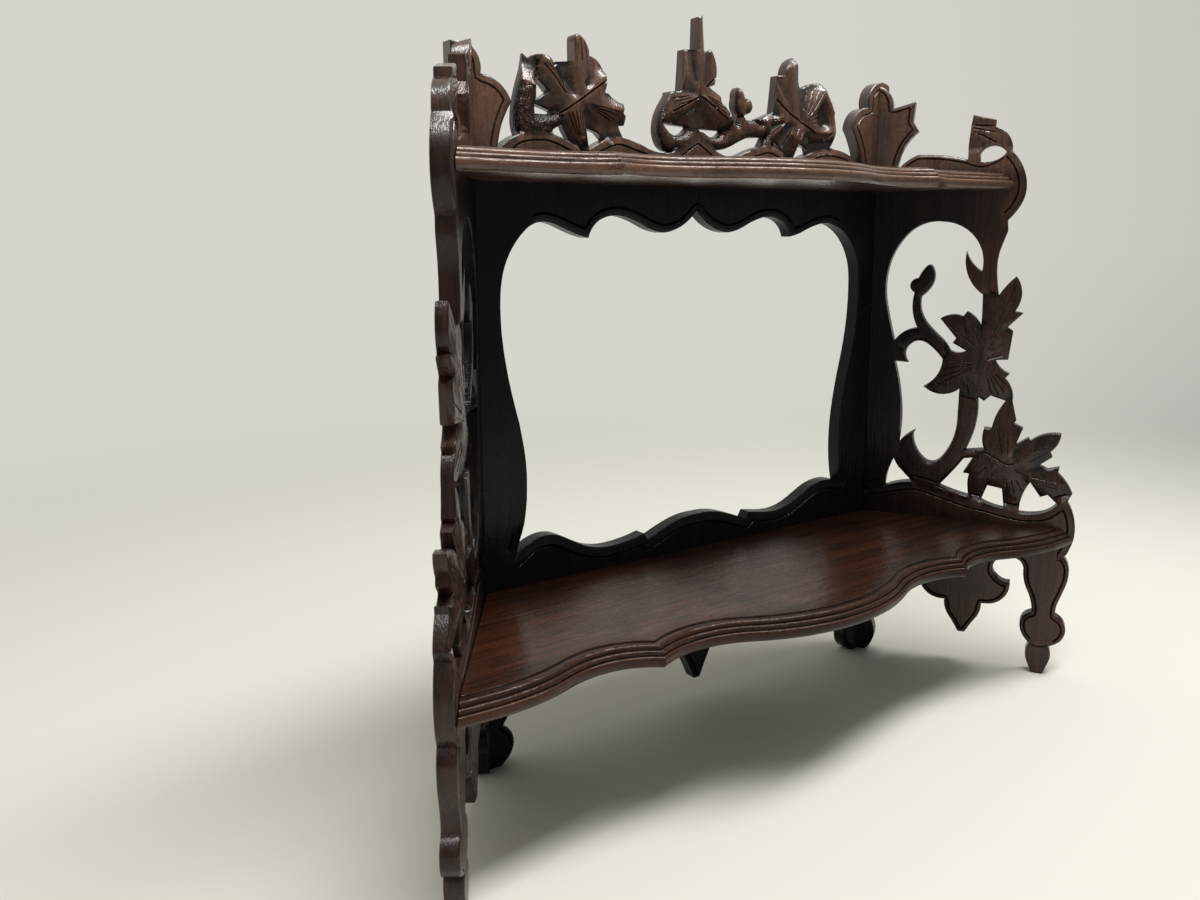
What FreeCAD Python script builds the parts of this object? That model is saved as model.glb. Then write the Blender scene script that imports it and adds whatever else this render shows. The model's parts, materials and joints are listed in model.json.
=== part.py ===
import FreeCAD, Part
import math
import os

# A carved tabletop shelf of five boards: a pierced back, two pierced sides that splay outwards
# like a book stood open, and two shelves with moulded serpentine fronts, all held by nails.
# The front looks along -Y, +X is the right-hand side as seen from the front, the feet stand on Z = 0
# and the origin is under the middle of the object.

doc = FreeCAD.newDocument("TabletopShelf")
sheet = doc.addObject("Spreadsheet::Sheet", "Sizes")

# Driving dimensions, in millimetres and degrees.
SIZES = (
    ("back_width", "330"),
    ("splay_angle", "33"),
    ("board_thickness", "10.5"),
    ("side_reach", "152"),
    ("lower_shelf_top", "114"),
    ("upper_shelf_top", "369"),
    ("crest_height", "463.5"),
    ("shelf_thickness", "12.5"),
    ("lower_shelf_reach", "143.5"),
    ("upper_shelf_reach", "106"),
    ("moulding_width", "10"),
    ("bead_bevel", "1.2"),
    ("nail_width", "1.8"),
    ("nail_head_width", "3.4"),
    ("nail_head_thickness", "1"),
    ("nail_length", "30"),
)
for row, (alias, value) in enumerate(SIZES, start=1):
    sheet.set("A%d" % row, alias)
    sheet.set("B%d" % row, value)
    sheet.setAlias("B%d" % row, alias)
doc.recompute()


def size(alias):
    return float(sheet.get(alias))


# The fret patterns are drawn on a board of these sizes and stretched to the driving dimensions.
DRAWN_WIDTH = 330.0
DRAWN_REACH = 152.0
DRAWN_LEVELS = (0.0, 114.0, 369.0, 463.5)
# A fretsaw follows a smooth line about this closely.
CURVE_TOLERANCE = 0.3

LEVELS = (0.0, size("lower_shelf_top"), size("upper_shelf_top"), size("crest_height"))
SPLAY = math.radians(size("splay_angle"))
HALF_WIDTH = size("back_width") / 2
# The sides' bevelled rear edges land on the back, so the back runs past them by their slanted thickness.
BACK_EDGE = (HALF_WIDTH + size("board_thickness") / math.cos(SPLAY)) * DRAWN_WIDTH / size("back_width")
# The back's front face lies so far behind the origin that the object's box is centred on it.
BACK_FACE = "(Sizes.lower_shelf_reach - Sizes.board_thickness) / 2"


def level(height):
    """Moves a height of the drawn pattern with the two shelves and the crest."""
    last = len(DRAWN_LEVELS) - 1
    above = 1
    while above < last and height > DRAWN_LEVELS[above]:
        above += 1
    low, high = DRAWN_LEVELS[above - 1], DRAWN_LEVELS[above]
    share = (height - low) / (high - low)
    return LEVELS[above - 1] + share * (LEVELS[above] - LEVELS[above - 1])


def on_back(point):
    return FreeCAD.Vector(point[0] * size("back_width") / DRAWN_WIDTH, level(point[1]), 0)


def on_side(point):
    return FreeCAD.Vector(point[0] * size("side_reach") / DRAWN_REACH, level(point[1]), 0)


def draw(sketch, place, start, runs):
    """Draws a closed outline of runs, each from the end of the last one.

    A run of one point is a straight cut, a run of two is an arc and a longer run is a smooth curve,
    which is cut as a chain of arcs that flow into each other.
    """
    here = place(start)
    first = here
    for run in runs:
        points = [here] + [place(point) for point in run]
        if len(points) == 2:
            sketch.addGeometry(Part.LineSegment(*points))
        elif len(points) == 3:
            sketch.addGeometry(Part.Arc(*points))
        else:
            curve = Part.BSplineCurve()
            curve.interpolate(points)
            for arc in curve.toBiArcs(CURVE_TOLERANCE):
                sketch.addGeometry(arc)
        here = points[-1]
    if here.distanceToPoint(first) > 1e-6:
        sketch.addGeometry(Part.LineSegment(here, first))


def mirrored(start, runs, centre=0.0):
    """Turns a run list round and mirrors it, so that it leads from its end back to its start."""
    ends = [start] + [run[-1] for run in runs]
    back = []
    for index in range(len(runs) - 1, -1, -1):
        points = list(reversed(runs[index][:-1])) + [ends[index]]
        back.append([(2 * centre - across, height) for across, height in points])
    return back


def origin_plane(body, role):
    return [plane for plane in body.Origin.OriginFeatures if plane.Role == role][0]


def new_body(name):
    body = doc.addObject("PartDesign::Body", name)
    body.AllowCompound = True
    return body


def new_sketch(body, name, role):
    sketch = body.newObject("Sketcher::SketchObject", name)
    sketch.AttachmentSupport = (origin_plane(body, role), [""])
    sketch.MapMode = "FlatFace"
    return sketch


def new_pad(body, sketch, name, length, backwards):
    pad = body.newObject("PartDesign::Pad", name)
    pad.Profile = sketch
    pad.Reversed = backwards
    pad.setExpression("Length", length)
    sketch.Visibility = False
    return pad


# Placements of the boards: the back and the shelves lie square, the sides turn about the rear corners.
def place_square(thing, height):
    thing.setExpression("Placement.Base.y", BACK_FACE)
    thing.setExpression("Placement.Base.z", height)


def place_side(thing, hand):
    thing.Placement.Rotation = FreeCAD.Rotation(FreeCAD.Vector(0, 0, -1), 90)
    thing.setExpression("Placement.Base.x", "%d * Sizes.back_width / 2" % hand)
    thing.setExpression("Placement.Base.y", BACK_FACE)
    thing.setExpression("Placement.Rotation.Angle", "90 - %d * Sizes.splay_angle" % hand)


# Back panel. The crest and the arches above the window sit a little left of the middle, as they were cut.
CREST_SHIFT = -4.0
SHIFT_FADES = (90.0, 150.0)
SHIFT_STARTS = 320.0


def on_pattern(point):
    """A point of the back's drawn outline, with the upper rail's small shift to the left."""
    across, height = point
    narrow, wide = SHIFT_FADES
    share = min(1.0, max(0.0, (wide - abs(across)) / (wide - narrow)))
    if height > SHIFT_STARTS:
        across += CREST_SHIFT * share
    return on_back((across, height))


# The back's outline: the lower edge from the pendant's tip round the foot to the right-hand edge, the
# right horn, the scallops between the horns, and the left horn. Horns were carved by eye and differ.
PENDANT_TIP = (0, 17.5)
FOOT_HALF = (
    [(2.5, 17.5)],
    [(7, 27), (11.5, 37), (13.5, 49)],
    [(22, 50.5), (29.5, 57), (33, 68)],
    [(23.5, 71.5), (20, 78), (25, 86.5), (34, 88), (52, 83), (72, 74)],
    [(84, 84), (103, 89), (121, 86), (130, 76), (132, 58), (137, 42), (147, 34.5), (155, 26)],
    [(147.8, 15), (158, 0)],
    [(BACK_EDGE, 0)],
)
HORN_TIP = (139.5, 401)
RIGHT_HORN = (
    [(BACK_EDGE, 433)],
    [(165, 434), (158, 428.5), (155.5, 416.5)],
    [(144.5, 412), HORN_TIP],
)
SCALLOPS_HALF = (
    [(145.5, 390.5), (150, 373)],
    [(136, 383), (117, 385.5), (103, 382.5), (86, 375.5)],
    [(74, 382), (62, 385.3), (48, 382.3), (27, 377)],
    [(16, 380), (8, 385), (0, 388.5)],
)
LEFT_HORN = (
    [(-149.5, 412), (-159.3, 415)],
    [(-162, 426.5), (-168, 431)],
    [(-BACK_EDGE, 431)],
    [(-BACK_EDGE, 0)],
)

# The window: the lower rail's right half, the right stile, the arches' right half, the left stile and
# the lower rail's left half, which dips to the shelf at its end.
RAIL_MIDDLE = (0, 137.3)
RIGHT_RAIL = (
    [(14, 136.4), (29, 132.3), (43.5, 126.3)],
    [(46.5, 131)],
    [(58, 129.2), (72, 128), (88, 131.5), (103, 139), (120, 143.6), (138, 140.5)],
)
ARCH_POINT = (84.5, 324.5)
RIGHT_STILE = (
    [(134.6, 168), (137.5, 204), (146, 241), (150.8, 282), (145, 314), (119.5, 334), (97, 328), ARCH_POINT],
)
ARCHES_HALF = (
    [(76, 335.5), (64, 338.2), (44, 332.5), (27, 327.5)],
    [(16, 330), (7, 335), (0, 341.5)],
)
LEFT_STILE = (
    [(-97, 328), (-119.5, 334), (-145, 314), (-150.8, 282), (-146, 241), (-137.5, 204), (-135.5, 168),
     (-146, 130)],
)
LEFT_RAIL = (
    [(-136.5, 138.5), (-120, 142.8), (-106, 138), (-92, 130.5), (-74, 127.5), (-46.5, 131)],
    [(-43.5, 126.3)],
    [(-29, 132.3), (-14, 136.4), RAIL_MIDDLE],
)

# The three broken vine leaves that stand on the crest, and the holes that the vine's stem leaves.
LEFT_LEAF = ((-134, 380), (
    [(-137, 391), (-135.5, 404), (-128.8, 429.3)],
    [(-125.3, 427)],
    [(-119, 429.5), (-109, 424.3)],
    [(-108.5, 426)],
    [(-97, 427)],
    [(-97, 438)],
    [(-95.4, 442.4), (-89.5, 440), (-85.6, 431.3)],
    [(-79, 430.2), (-73.3, 421.5)],
    [(-74.2, 411)],
    [(-70.7, 410.7)],
    [(-66, 407.2), (-59.6, 405.3)],
    [(-60.7, 400)],
    [(-57.3, 398)],
    [(-58, 392.7)],
    [(-62.5, 392)],
    [(-57.5, 383)],
    [(-73, 381.5)],
    [(-79.5, 387.5)],
    [(-86.2, 389.5)],
    [(-88, 374)],
    [(-91, 374.5)],
    [(-100, 383), (-104.5, 391)],
    [(-111, 387)],
    [(-113, 382.5)],
))
LEFT_LEAF_HOLES = (
    ((-122, 417), ([(-113.8, 408.5)], [(-122, 403.5)])),
    ((-123.5, 401.5), ([(-111.5, 397.8)], [(-112, 396)], [(-123.5, 396)])),
)
CENTRE_LEAF = ((-24, 378.5), (
    [(-32, 382), (-35, 390), (-32.5, 402.5), (-26.2, 412.5)],
    [(-25.5, 415)],
    [(-15.8, 416.5)],
    [(-14, 441.5)],
    [(-4, 442)],
    [(-3.4, 462)],
    [(0.7, 463.5)],
    [(2.4, 441)],
    [(8.7, 443.5)],
    [(13, 432), (12.3, 422)],
    [(7.3, 420)],
    [(18, 414.8)],
    [(18.4, 411.3)],
    [(25.5, 405), (30.5, 397.5)],
    [(32.5, 405)],
    [(30, 409.5), (30.5, 415)],
    [(31, 419.5), (33, 422)],
    [(36.4, 419.2), (38, 415.3)],
    [(44.9, 410), (38.9, 405)],
    [(39.3, 401.5)],
    [(46, 401.5)],
    [(58, 397)],
    [(56, 391)],
    [(45.5, 390.2)],
    [(36, 388), (24, 382.6), (8, 381.8)],
    [(-4, 384)],
))
CENTRE_LEAF_HOLES = (
    ((-31, 395.5), ([(-9, 394.3)], [(-12, 391)], [(-19.5, 388.6), (-25, 389.8)])),
    ((1, 393.6), ([(20, 393.4)], [(10, 388.8), (1, 393.6)])),
)
RIGHT_LEAF = ((52, 382), (
    [(57.5, 392.5)],
    [(51, 400.5)],
    [(50.5, 402.8)],
    [(64, 408)],
    [(65.6, 420), (66.8, 432)],
    [(73.5, 432.5)],
    [(77.4, 442), (84.7, 445.6)],
    [(86.4, 440)],
    [(86.4, 430)],
    [(88.3, 426)],
    [(92.7, 426)],
    [(101, 429.4), (110.7, 430.4)],
    [(117.3, 421.5), (126.7, 410.7)],
    [(129.4, 399), (119, 383.5)],
    [(100, 381)],
    [(98, 386)],
    [(89, 388)],
    [(79.5, 374.5)],
    [(72, 375.5)],
    [(70.5, 386)],
    [(66.5, 388.5)],
    [(62, 382)],
))


def make_back():
    body = new_body("BackBoard")
    outline = new_sketch(body, "BackOutline", "XZ_Plane")
    lower_left = mirrored(PENDANT_TIP, FOOT_HALF)
    crest = list(SCALLOPS_HALF) + mirrored(HORN_TIP, SCALLOPS_HALF)
    edge = list(FOOT_HALF + RIGHT_HORN) + crest + list(LEFT_HORN) + lower_left
    draw(outline, on_pattern, PENDANT_TIP, edge)
    arches = list(ARCHES_HALF) + mirrored(ARCH_POINT, ARCHES_HALF)
    window = list(RIGHT_RAIL + RIGHT_STILE) + arches + list(LEFT_STILE + LEFT_RAIL)
    draw(outline, on_pattern, RAIL_MIDDLE, window)
    new_pad(body, outline, "BackThickness", "Sizes.board_thickness", True)
    leaves = (
        ("LeftLeaf", LEFT_LEAF, LEFT_LEAF_HOLES),
        ("CentreLeaf", CENTRE_LEAF, CENTRE_LEAF_HOLES),
        ("RightLeaf", RIGHT_LEAF, ()),
    )
    for name, leaf, holes in leaves:
        sketch = new_sketch(body, name + "Outline", "XZ_Plane")
        for start, runs in (leaf,) + holes:
            draw(sketch, on_back, start, runs)
        new_pad(body, sketch, name, "Sizes.board_thickness", True)
    place_square(body, "0")
    return body


# Side panel, drawn as distance from the rear corner and height. The scalloped apron is the same on both
# sides of its pendant, whose middle is here.
PENDANT_AXIS = 77.2
PENDANT_HALF = (
    [(79.7, 24.7)],
    [(86.4, 35.5), (89.9, 43), (90.7, 49.3)],
    [(102.5, 52), (110, 68)],
    [(100.4, 71.5), (97.1, 78), (101.4, 86), (109.9, 88), (116.4, 85.5), (118.8, 79)],
)
PENDANT_MIDDLE = (PENDANT_AXIS, 24.7)
REAR_LEG = (
    [(5, 0)],
    [(12, 13), (8.5, 26)],
    [(17, 33.8), (28, 40.5), (33.5, 53), (35.6, 79)],
)
FRONT_LEG = (
    [(120.5, 69), (125, 56), (126.3, 47)],
    [(119.3, 41), (119.8, 32), (126.2, 22.8)],
    [(123.8, 15), (125.6, 7), (129.2, 0)],
    [(136.2, 0)],
    [(139.4, 7), (141.2, 15), (139, 22.5)],
    [(149.4, 32), (149, 40), (142.7, 46)],
    [(143.5, 55), (149.5, 74), (149.8, 84), (145.7, 91.6)],
)
# The front edge from the lower scroll up over both leaves and the post to the upper scroll.
LEAF_EDGE = (
    [(151.9, 114), (145.5, 133.5)],
    [(148.5, 139.2)],
    [(144.2, 147), (138, 153.8)],
    [(138.8, 158)],
    [(131, 155.9)],
    [(125, 159)],
    [(133.5, 165.4)],
    [(131.9, 169.2)],
    [(136.6, 175), (138.4, 182.8)],
    [(126, 181.2), (118, 176.2)],
    [(116.5, 178.5)],
    [(108, 172.8)],
    [(112.4, 185.4)],
    [(105.8, 188.5)],
    [(107.3, 190.8)],
    [(104, 204.5)],
    [(103, 213.5), (97.8, 221.5)],
    [(100.8, 225)],
    [(94, 229.5), (90.6, 235)],
    [(99.3, 235.4)],
    [(101.5, 256.2)],
    [(97.6, 259)],
    [(107.6, 269.5)],
    [(102, 270.8)],
    [(105.8, 285), (101.5, 295.8)],
    [(95.5, 289.5), (90.2, 282)],
    [(88.2, 298), (88.4, 309), (91.2, 320), (94, 328)],
    [(93.4, 335.5)],
    [(99.5, 343), (104.3, 355), (103.6, 366), (93.7, 383.5)],
)
# The top edge from the leaf that is left there, back over the upper rail to the horn at the corner.
TOP_EDGE = (
    [(90.5, 395), (81.7, 400.7)],
    [(82, 405.3)],
    [(66.3, 409.2)],
    [(64.3, 392), (64, 378.5)],
    [(47, 381.8), (29.5, 382.6)],
    [(21.5, 378.2), (15, 371.5)],
    [(19, 387.5), (29, 399.6)],
    [(24.7, 406.5)],
    [(26, 420)],
    [(10, 415.8)],
    [(7.2, 427.2), (0, 432.6)],
)
# Openings of the pierced side: round the bud, under the curl, and six small ones among the leaves.
SIDE_OPENINGS = (
    ((18, 246.5), (
        [(13.5, 264), (10.4, 289), (17.5, 316.5), (31, 331), (49.7, 334.8)],
        [(69, 326.8), (78, 299.2)],
        [(71.2, 305), (66.8, 313.4)],
        [(68, 297.5), (79.4, 282.5)],
        [(79.4, 259.8)],
        [(75, 266), (69.2, 270)],
        [(66.5, 266.3)],
        [(58, 267.3), (50.4, 264.2)],
        [(62.4, 250)],
        [(60, 246.5)],
        [(70, 241)],
        [(64, 239.2), (58.8, 240.8)],
        [(50, 251.8), (41, 261), (36.4, 280)],
        [(41.8, 286), (44.8, 299), (41.5, 304), (37, 300), (33.5, 293.8)],
        [(27.8, 289), (31, 283.2)],
        [(30.2, 270), (34.2, 257)],
        [(25, 254), (18, 246.5)],
    )),
    ((19, 231.8), (
        [(24.3, 207), (25.7, 188), (24.5, 169)],
        [(29.5, 174.8), (36.5, 179.5)],
        [(40, 161), (48.8, 155), (58.8, 163.8), (66, 188.5), (66.5, 212.5)],
        [(54, 207.6), (40.7, 213)],
        [(50, 222), (53.5, 234)],
        [(45, 243.2), (36, 247.2), (27.6, 241.5), (28.8, 230.8)],
    )),
    ((15.5, 134.5), (
        [(17.5, 146.5), (21.5, 157)],
        [(27, 148), (36, 139.5)],
        [(26, 138.2), (15.5, 134.5)],
    )),
    ((80, 207), (
        [(84.2, 204.2)],
        [(88.8, 208.5)],
        [(99.5, 205)],
        [(93.5, 194.5), (90.6, 183.8)],
        [(85.5, 184.2)],
        [(84.6, 176), (86.5, 168.3)],
        [(73.2, 166.6)],
        [(79.2, 184), (80, 207)],
    )),
    ((72.5, 160), (
        [(78.8, 161)],
        [(72.2, 148.8)],
        [(76.5, 148.5)],
        [(75.8, 140), (77.5, 131.5)],
        [(66.5, 134.2), (55.5, 138)],
        [(64.5, 149), (72.5, 160)],
    )),
    ((86, 129.3), (
        [(90, 140.8)],
        [(100.4, 139.2)],
        [(102.5, 124.3)],
        [(94, 126), (86, 129.3)],
    )),
    ((113, 122.2), (
        [(115, 136), (119.6, 145.8)],
        [(127, 135)],
        [(132, 137)],
        [(139, 131)],
        [(132, 125), (124, 122.4), (113, 122.2)],
    )),
    ((73, 377), (
        [(72.3, 382)],
        [(77.5, 386.9), (90, 382.8)],
        [(82.5, 377.2), (73, 377)],
    )),
)


def make_side(name, hand):
    body = new_body(name)
    outline = new_sketch(body, name + "Outline", "XZ_Plane")
    apron = mirrored(PENDANT_MIDDLE, PENDANT_HALF, PENDANT_AXIS) + list(PENDANT_HALF)
    draw(outline, on_side, (0, 0), list(REAR_LEG) + apron + list(FRONT_LEG + LEAF_EDGE + TOP_EDGE))
    for start, runs in SIDE_OPENINGS:
        draw(outline, on_side, start, runs)
    new_pad(body, outline, name + "Thickness", "Sizes.board_thickness", hand > 0)
    bevel = new_sketch(body, name + "Bevel", "XY_Plane")
    thickness = size("board_thickness")
    corners = (
        FreeCAD.Vector(0, 0, 0),
        FreeCAD.Vector(thickness * math.tan(SPLAY), hand * thickness, 0),
        FreeCAD.Vector(0, hand * thickness, 0),
    )
    for index in range(3):
        bevel.addGeometry(Part.LineSegment(corners[index], corners[(index + 1) % 3]))
    pocket = body.newObject("PartDesign::Pocket", name + "BevelCut")
    pocket.Profile = bevel
    pocket.Type = "ThroughAll"
    pocket.Midplane = True
    place_side(body, hand)
    return body


# Shelves. The front swells in the middle, dips to a trough, comes to a pointed tip and sweeps out to
# the sides. Points of its right half are distances from the middle and back from the foremost line.
MIDDLE_SWELL = (0, 0)
TROUGH = (97, 24)
TIP = (126, 17.2)
OUTER_TROUGH = (157, 28.5)
LOWER_SWELL = (222, 16)
LOWER_END = 17.3
UPPER_END = 25.2
# Share of the way from a swell to the trough beside it at which the front turns from round to hollow.
TURN = 0.65
# Layers of the front moulding, from the underside: share of the thickness, share of the moulding's width.
LAYERS = (("Fascia", 0.0, 0.52, 0.0), ("LowerBead", 0.52, 0.72, 0.24), ("UpperBead", 0.72, 0.93, 0.5),
          ("Field", 0.93, 1.0, 1.0))


def shelf_end(forward):
    """Where the line so far in front of the back meets a side's inner face."""
    return HALF_WIDTH + forward * math.tan(SPLAY)


def turning_point(swell, trough):
    return tuple(start + TURN * (end - start) for start, end in zip(swell, trough))


def swept_arc(flat, end):
    """The arc that leaves its first point parallel to the back and comes to its second."""
    across = end.x - flat.x
    deep = end.y - flat.y
    radius = (across ** 2 + deep ** 2) / (2 * deep)
    lean = math.atan(deep / across)
    middle = FreeCAD.Vector(radius * math.sin(lean), radius * (1 - math.cos(lean)), 0)
    return Part.Arc(flat, flat + middle, end)


def draw_shelf(sketch, reach, outer_swells, end, setback):
    stretch = size("back_width") / DRAWN_WIDTH
    front = reach - setback
    end_across = shelf_end(front - end)
    turn = turning_point(MIDDLE_SWELL, TROUGH)
    arcs = [(MIDDLE_SWELL, turn), (TROUGH, turn), (TROUGH, TIP), (OUTER_TROUGH, TIP)]
    last = OUTER_TROUGH
    for swell in outer_swells:
        turn = turning_point(swell, OUTER_TROUGH)
        arcs += [(OUTER_TROUGH, turn), (swell, turn)]
        last = swell
    arcs.append((last, (end_across / stretch, end)))
    for hand in (1, -1):
        for ends in arcs:
            sketch.addGeometry(swept_arc(*[
                FreeCAD.Vector(hand * across * stretch, deep - front, 0) for across, deep in ends]))
    corners = [
        FreeCAD.Vector(end_across, end - front, 0),
        FreeCAD.Vector(HALF_WIDTH, 0, 0),
        FreeCAD.Vector(-HALF_WIDTH, 0, 0),
        FreeCAD.Vector(-end_across, end - front, 0),
    ]
    for near, far in zip(corners, corners[1:]):
        sketch.addGeometry(Part.LineSegment(near, far))


def front_edges(shape, height):
    """The curved edges of the front that lie at this height."""
    found = []
    for number, edge in enumerate(shape.Edges, start=1):
        box = edge.BoundBox
        flat = abs(box.ZMin - height) < 1e-4 and abs(box.ZMax - height) < 1e-4
        if flat and edge.Curve.TypeId == "Part::GeomCircle":
            found.append("Edge%d" % number)
    return found


def bevel_front(body, name, height, amount):
    """Bevels the front's edge at this height."""
    bevel = body.newObject("PartDesign::Chamfer", name)
    bevel.Base = (bevel.BaseFeature, front_edges(bevel.BaseFeature.Shape, height))
    bevel.setExpression("Size", amount)
    doc.recompute()


def make_shelf(name, reach_alias, outer_swells, end, top):
    body = new_body(name)
    for layer, bottom, upper, share in LAYERS:
        sketch = new_sketch(body, name + layer + "Outline", "XY_Plane")
        sketch.setExpression("AttachmentOffset.Base.z", "%g * Sizes.shelf_thickness" % bottom)
        draw_shelf(sketch, size(reach_alias), outer_swells, end, share * size("moulding_width"))
        new_pad(body, sketch, name + layer, "%g * Sizes.shelf_thickness" % (upper - bottom), False)
        doc.recompute()
        if layer == "Fascia":
            bevel_front(body, name + "LowerEdge", 0.0, "2 * Sizes.bead_bevel")
        if layer != "Field":
            bevel_front(body, name + layer + "Bevel", upper * size("shelf_thickness"), "Sizes.bead_bevel")
    place_square(body, "Sizes.%s - Sizes.shelf_thickness" % top)
    return body


# Nails, square ones cut from plate, as groups of the identical ones of each joint. Every board is bored by
# the nails that it holds.
SQUARE = ((-0.5, -0.5), (0.5, -0.5), (0.5, 0.5), (-0.5, 0.5))


def draw_squares(sketch, centres, width):
    for across, height in centres:
        corners = [FreeCAD.Vector(across + width * x, height + width * y, 0) for x, y in SQUARE]
        for index, corner in enumerate(corners):
            sketch.addGeometry(Part.LineSegment(corners[index - 1], corner))


def add_rods(body, name, plane, centres, start, backwards, width_alias, length):
    sketch = new_sketch(body, name + "Squares", plane)
    sketch.setExpression("AttachmentOffset.Base.z", start)
    draw_squares(sketch, centres, size(width_alias))
    new_pad(body, sketch, name, length, backwards)


def make_nails(name, plane, centres, start, backwards):
    body = new_body(name)
    shank = ("nail_width", "Sizes.nail_length")
    head = ("nail_head_width", "Sizes.nail_head_thickness")
    add_rods(body, name + "Shanks", plane, centres, start, backwards, *shank)
    add_rods(body, name + "Heads", plane, centres, start, backwards, *head)
    return body


LOWER_JOINT = size("lower_shelf_top") - size("shelf_thickness") / 2
UPPER_JOINT = size("upper_shelf_top") - size("shelf_thickness") / 2
# Shares of the back's width, of the sides' reach and of the heights at which the nails sit.
BACK_NAILS_ACROSS = (-0.27, 0.0, 0.27)
LOWER_NAIL_DEPTHS = (0.21, 0.59)
UPPER_NAIL_DEPTHS = (0.17, 0.45)
CORNER_NAIL_HEIGHTS = (
    0.54 * size("lower_shelf_top"),
    0.7 * size("lower_shelf_top") + 0.3 * size("upper_shelf_top"),
    0.08 * size("lower_shelf_top") + 0.92 * size("upper_shelf_top"),
)
# Corner nails run slantwise through the back along the middle of the side's edge, with sunk heads.
SLANTED_BACK = "Sizes.board_thickness * (1 - sin(Sizes.splay_angle) / 2) / cos(Sizes.splay_angle)"
HEAD_TILT = "Sizes.nail_head_width * tan(Sizes.splay_angle)"
CORNER_START = HEAD_TILT + " / 2 - " + SLANTED_BACK


def make_back_nails(name, joint):
    centres = [(share * size("back_width"), joint) for share in BACK_NAILS_ACROSS]
    body = make_nails(name, "XZ_Plane", centres, "-Sizes.board_thickness", False)
    place_square(body, "0")
    return body


def make_side_nails(name, hand, joint, depths):
    centres = [(share * size("side_reach"), joint) for share in depths]
    outer_face = "%d * Sizes.board_thickness" % -hand
    body = make_nails(name, "XZ_Plane", centres, outer_face, hand < 0)
    place_side(body, hand)
    return body


def corner_centres(hand):
    return [(hand * size("board_thickness") / 2, height) for height in CORNER_NAIL_HEIGHTS]


def make_corner_nails(name, hand):
    body = make_nails(name, "YZ_Plane", corner_centres(hand), CORNER_START, False)
    place_side(body, hand)
    return body


def make_sunk_holes(name, hand):
    """The holes that a punch leaves in the back, over the sunk heads of the corner nails."""
    body = new_body(name)
    hole = ("nail_head_width", HEAD_TILT)
    add_rods(body, name + "Rods", "YZ_Plane", corner_centres(hand), CORNER_START, True, *hole)
    place_side(body, hand)
    return body


def bore(label, board, tools):
    bores = doc.addObject("Part::Compound", board.Name + "Bores")
    bores.Links = tools
    bored = doc.addObject("Part::Cut", board.Name + "Bored")
    bored.Base = board
    bored.Tool = bores
    bored.Label = label
    return bored


RIGHT, LEFT = 1, -1
lower_back_nails = make_back_nails("LowerBackNails", LOWER_JOINT)
upper_back_nails = make_back_nails("UpperBackNails", UPPER_JOINT)
lower_left_nails = make_side_nails("LowerLeftNails", LEFT, LOWER_JOINT, LOWER_NAIL_DEPTHS)
lower_right_nails = make_side_nails("LowerRightNails", RIGHT, LOWER_JOINT, LOWER_NAIL_DEPTHS)
upper_left_nails = make_side_nails("UpperLeftNails", LEFT, UPPER_JOINT, UPPER_NAIL_DEPTHS)
upper_right_nails = make_side_nails("UpperRightNails", RIGHT, UPPER_JOINT, UPPER_NAIL_DEPTHS)
left_corner_nails = make_corner_nails("LeftCornerNails", LEFT)
right_corner_nails = make_corner_nails("RightCornerNails", RIGHT)
sunk_holes = [make_sunk_holes("LeftSunkHoles", LEFT), make_sunk_holes("RightSunkHoles", RIGHT)]

back = make_back()
left_side = make_side("LeftSide", LEFT)
right_side = make_side("RightSide", RIGHT)
lower_shelf = make_shelf("LowerShelf", "lower_shelf_reach", (LOWER_SWELL,), LOWER_END, "lower_shelf_top")
upper_shelf = make_shelf("UpperShelf", "upper_shelf_reach", (), UPPER_END, "upper_shelf_top")

lower_back_nails.Label = "lower_shelf_back_nails"
upper_back_nails.Label = "upper_shelf_back_nails"
lower_left_nails.Label = "lower_shelf_left_nails"
lower_right_nails.Label = "lower_shelf_right_nails"
upper_left_nails.Label = "upper_shelf_left_nails"
upper_right_nails.Label = "upper_shelf_right_nails"
left_corner_nails.Label = "left_corner_nails"
right_corner_nails.Label = "right_corner_nails"
corner_nails = [left_corner_nails, right_corner_nails]
back_nails = [lower_back_nails, upper_back_nails]
left_nails = [lower_left_nails, upper_left_nails, left_corner_nails]
right_nails = [lower_right_nails, upper_right_nails, right_corner_nails]
lower_nails = [lower_back_nails, lower_left_nails, lower_right_nails]
upper_nails = [upper_back_nails, upper_left_nails, upper_right_nails]
nodes = [
    bore("back_panel", back, back_nails + corner_nails + sunk_holes),
    bore("left_side_panel", left_side, left_nails),
    bore("right_side_panel", right_side, right_nails),
    bore("lower_shelf", lower_shelf, lower_nails),
    bore("upper_shelf", upper_shelf, upper_nails),
]
nodes += back_nails + left_nails + right_nails
doc.recompute()

for thing in doc.Objects:
    if "Invalid" in thing.State or "Error" in thing.State:
        raise RuntimeError("%s did not compute: %s" % (thing.Label, thing.State))
for node in nodes:
    if node.Shape.isNull() or not node.Shape.isValid():
        raise RuntimeError("%s has no valid shape" % node.Label)

os.makedirs("parts", exist_ok=True)
for node in nodes:
    node.Shape.exportStep("parts/%s.step" % node.Label)
    box = node.Shape.BoundBox
    print("%-24s %2d solids %9.0f mm3  X %7.1f %7.1f  Y %7.1f %7.1f  Z %6.1f %6.1f" % (
        node.Label, len(node.Shape.Solids), node.Shape.Volume,
        box.XMin, box.XMax, box.YMin, box.YMax, box.ZMin, box.ZMax))
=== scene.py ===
# %% [markdown]
# # A carved tabletop shelf
# The real object is five thin walnut boards, sawn out with a fretsaw and carved by hand: a pierced back,
# two pierced sides that open like a book, and two shelves with moulded fronts. The imported model gives
# every board its exact place and outline. This lesson carves the boards, rounds the mouldings, and gives
# the old varnished wood its looks. First the imported model is loaded.

# %% Load the imported model
import json
import math

import bpy
import numpy as np
from mathutils import Euler, Matrix, Vector, geometry, kdtree, noise

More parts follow.
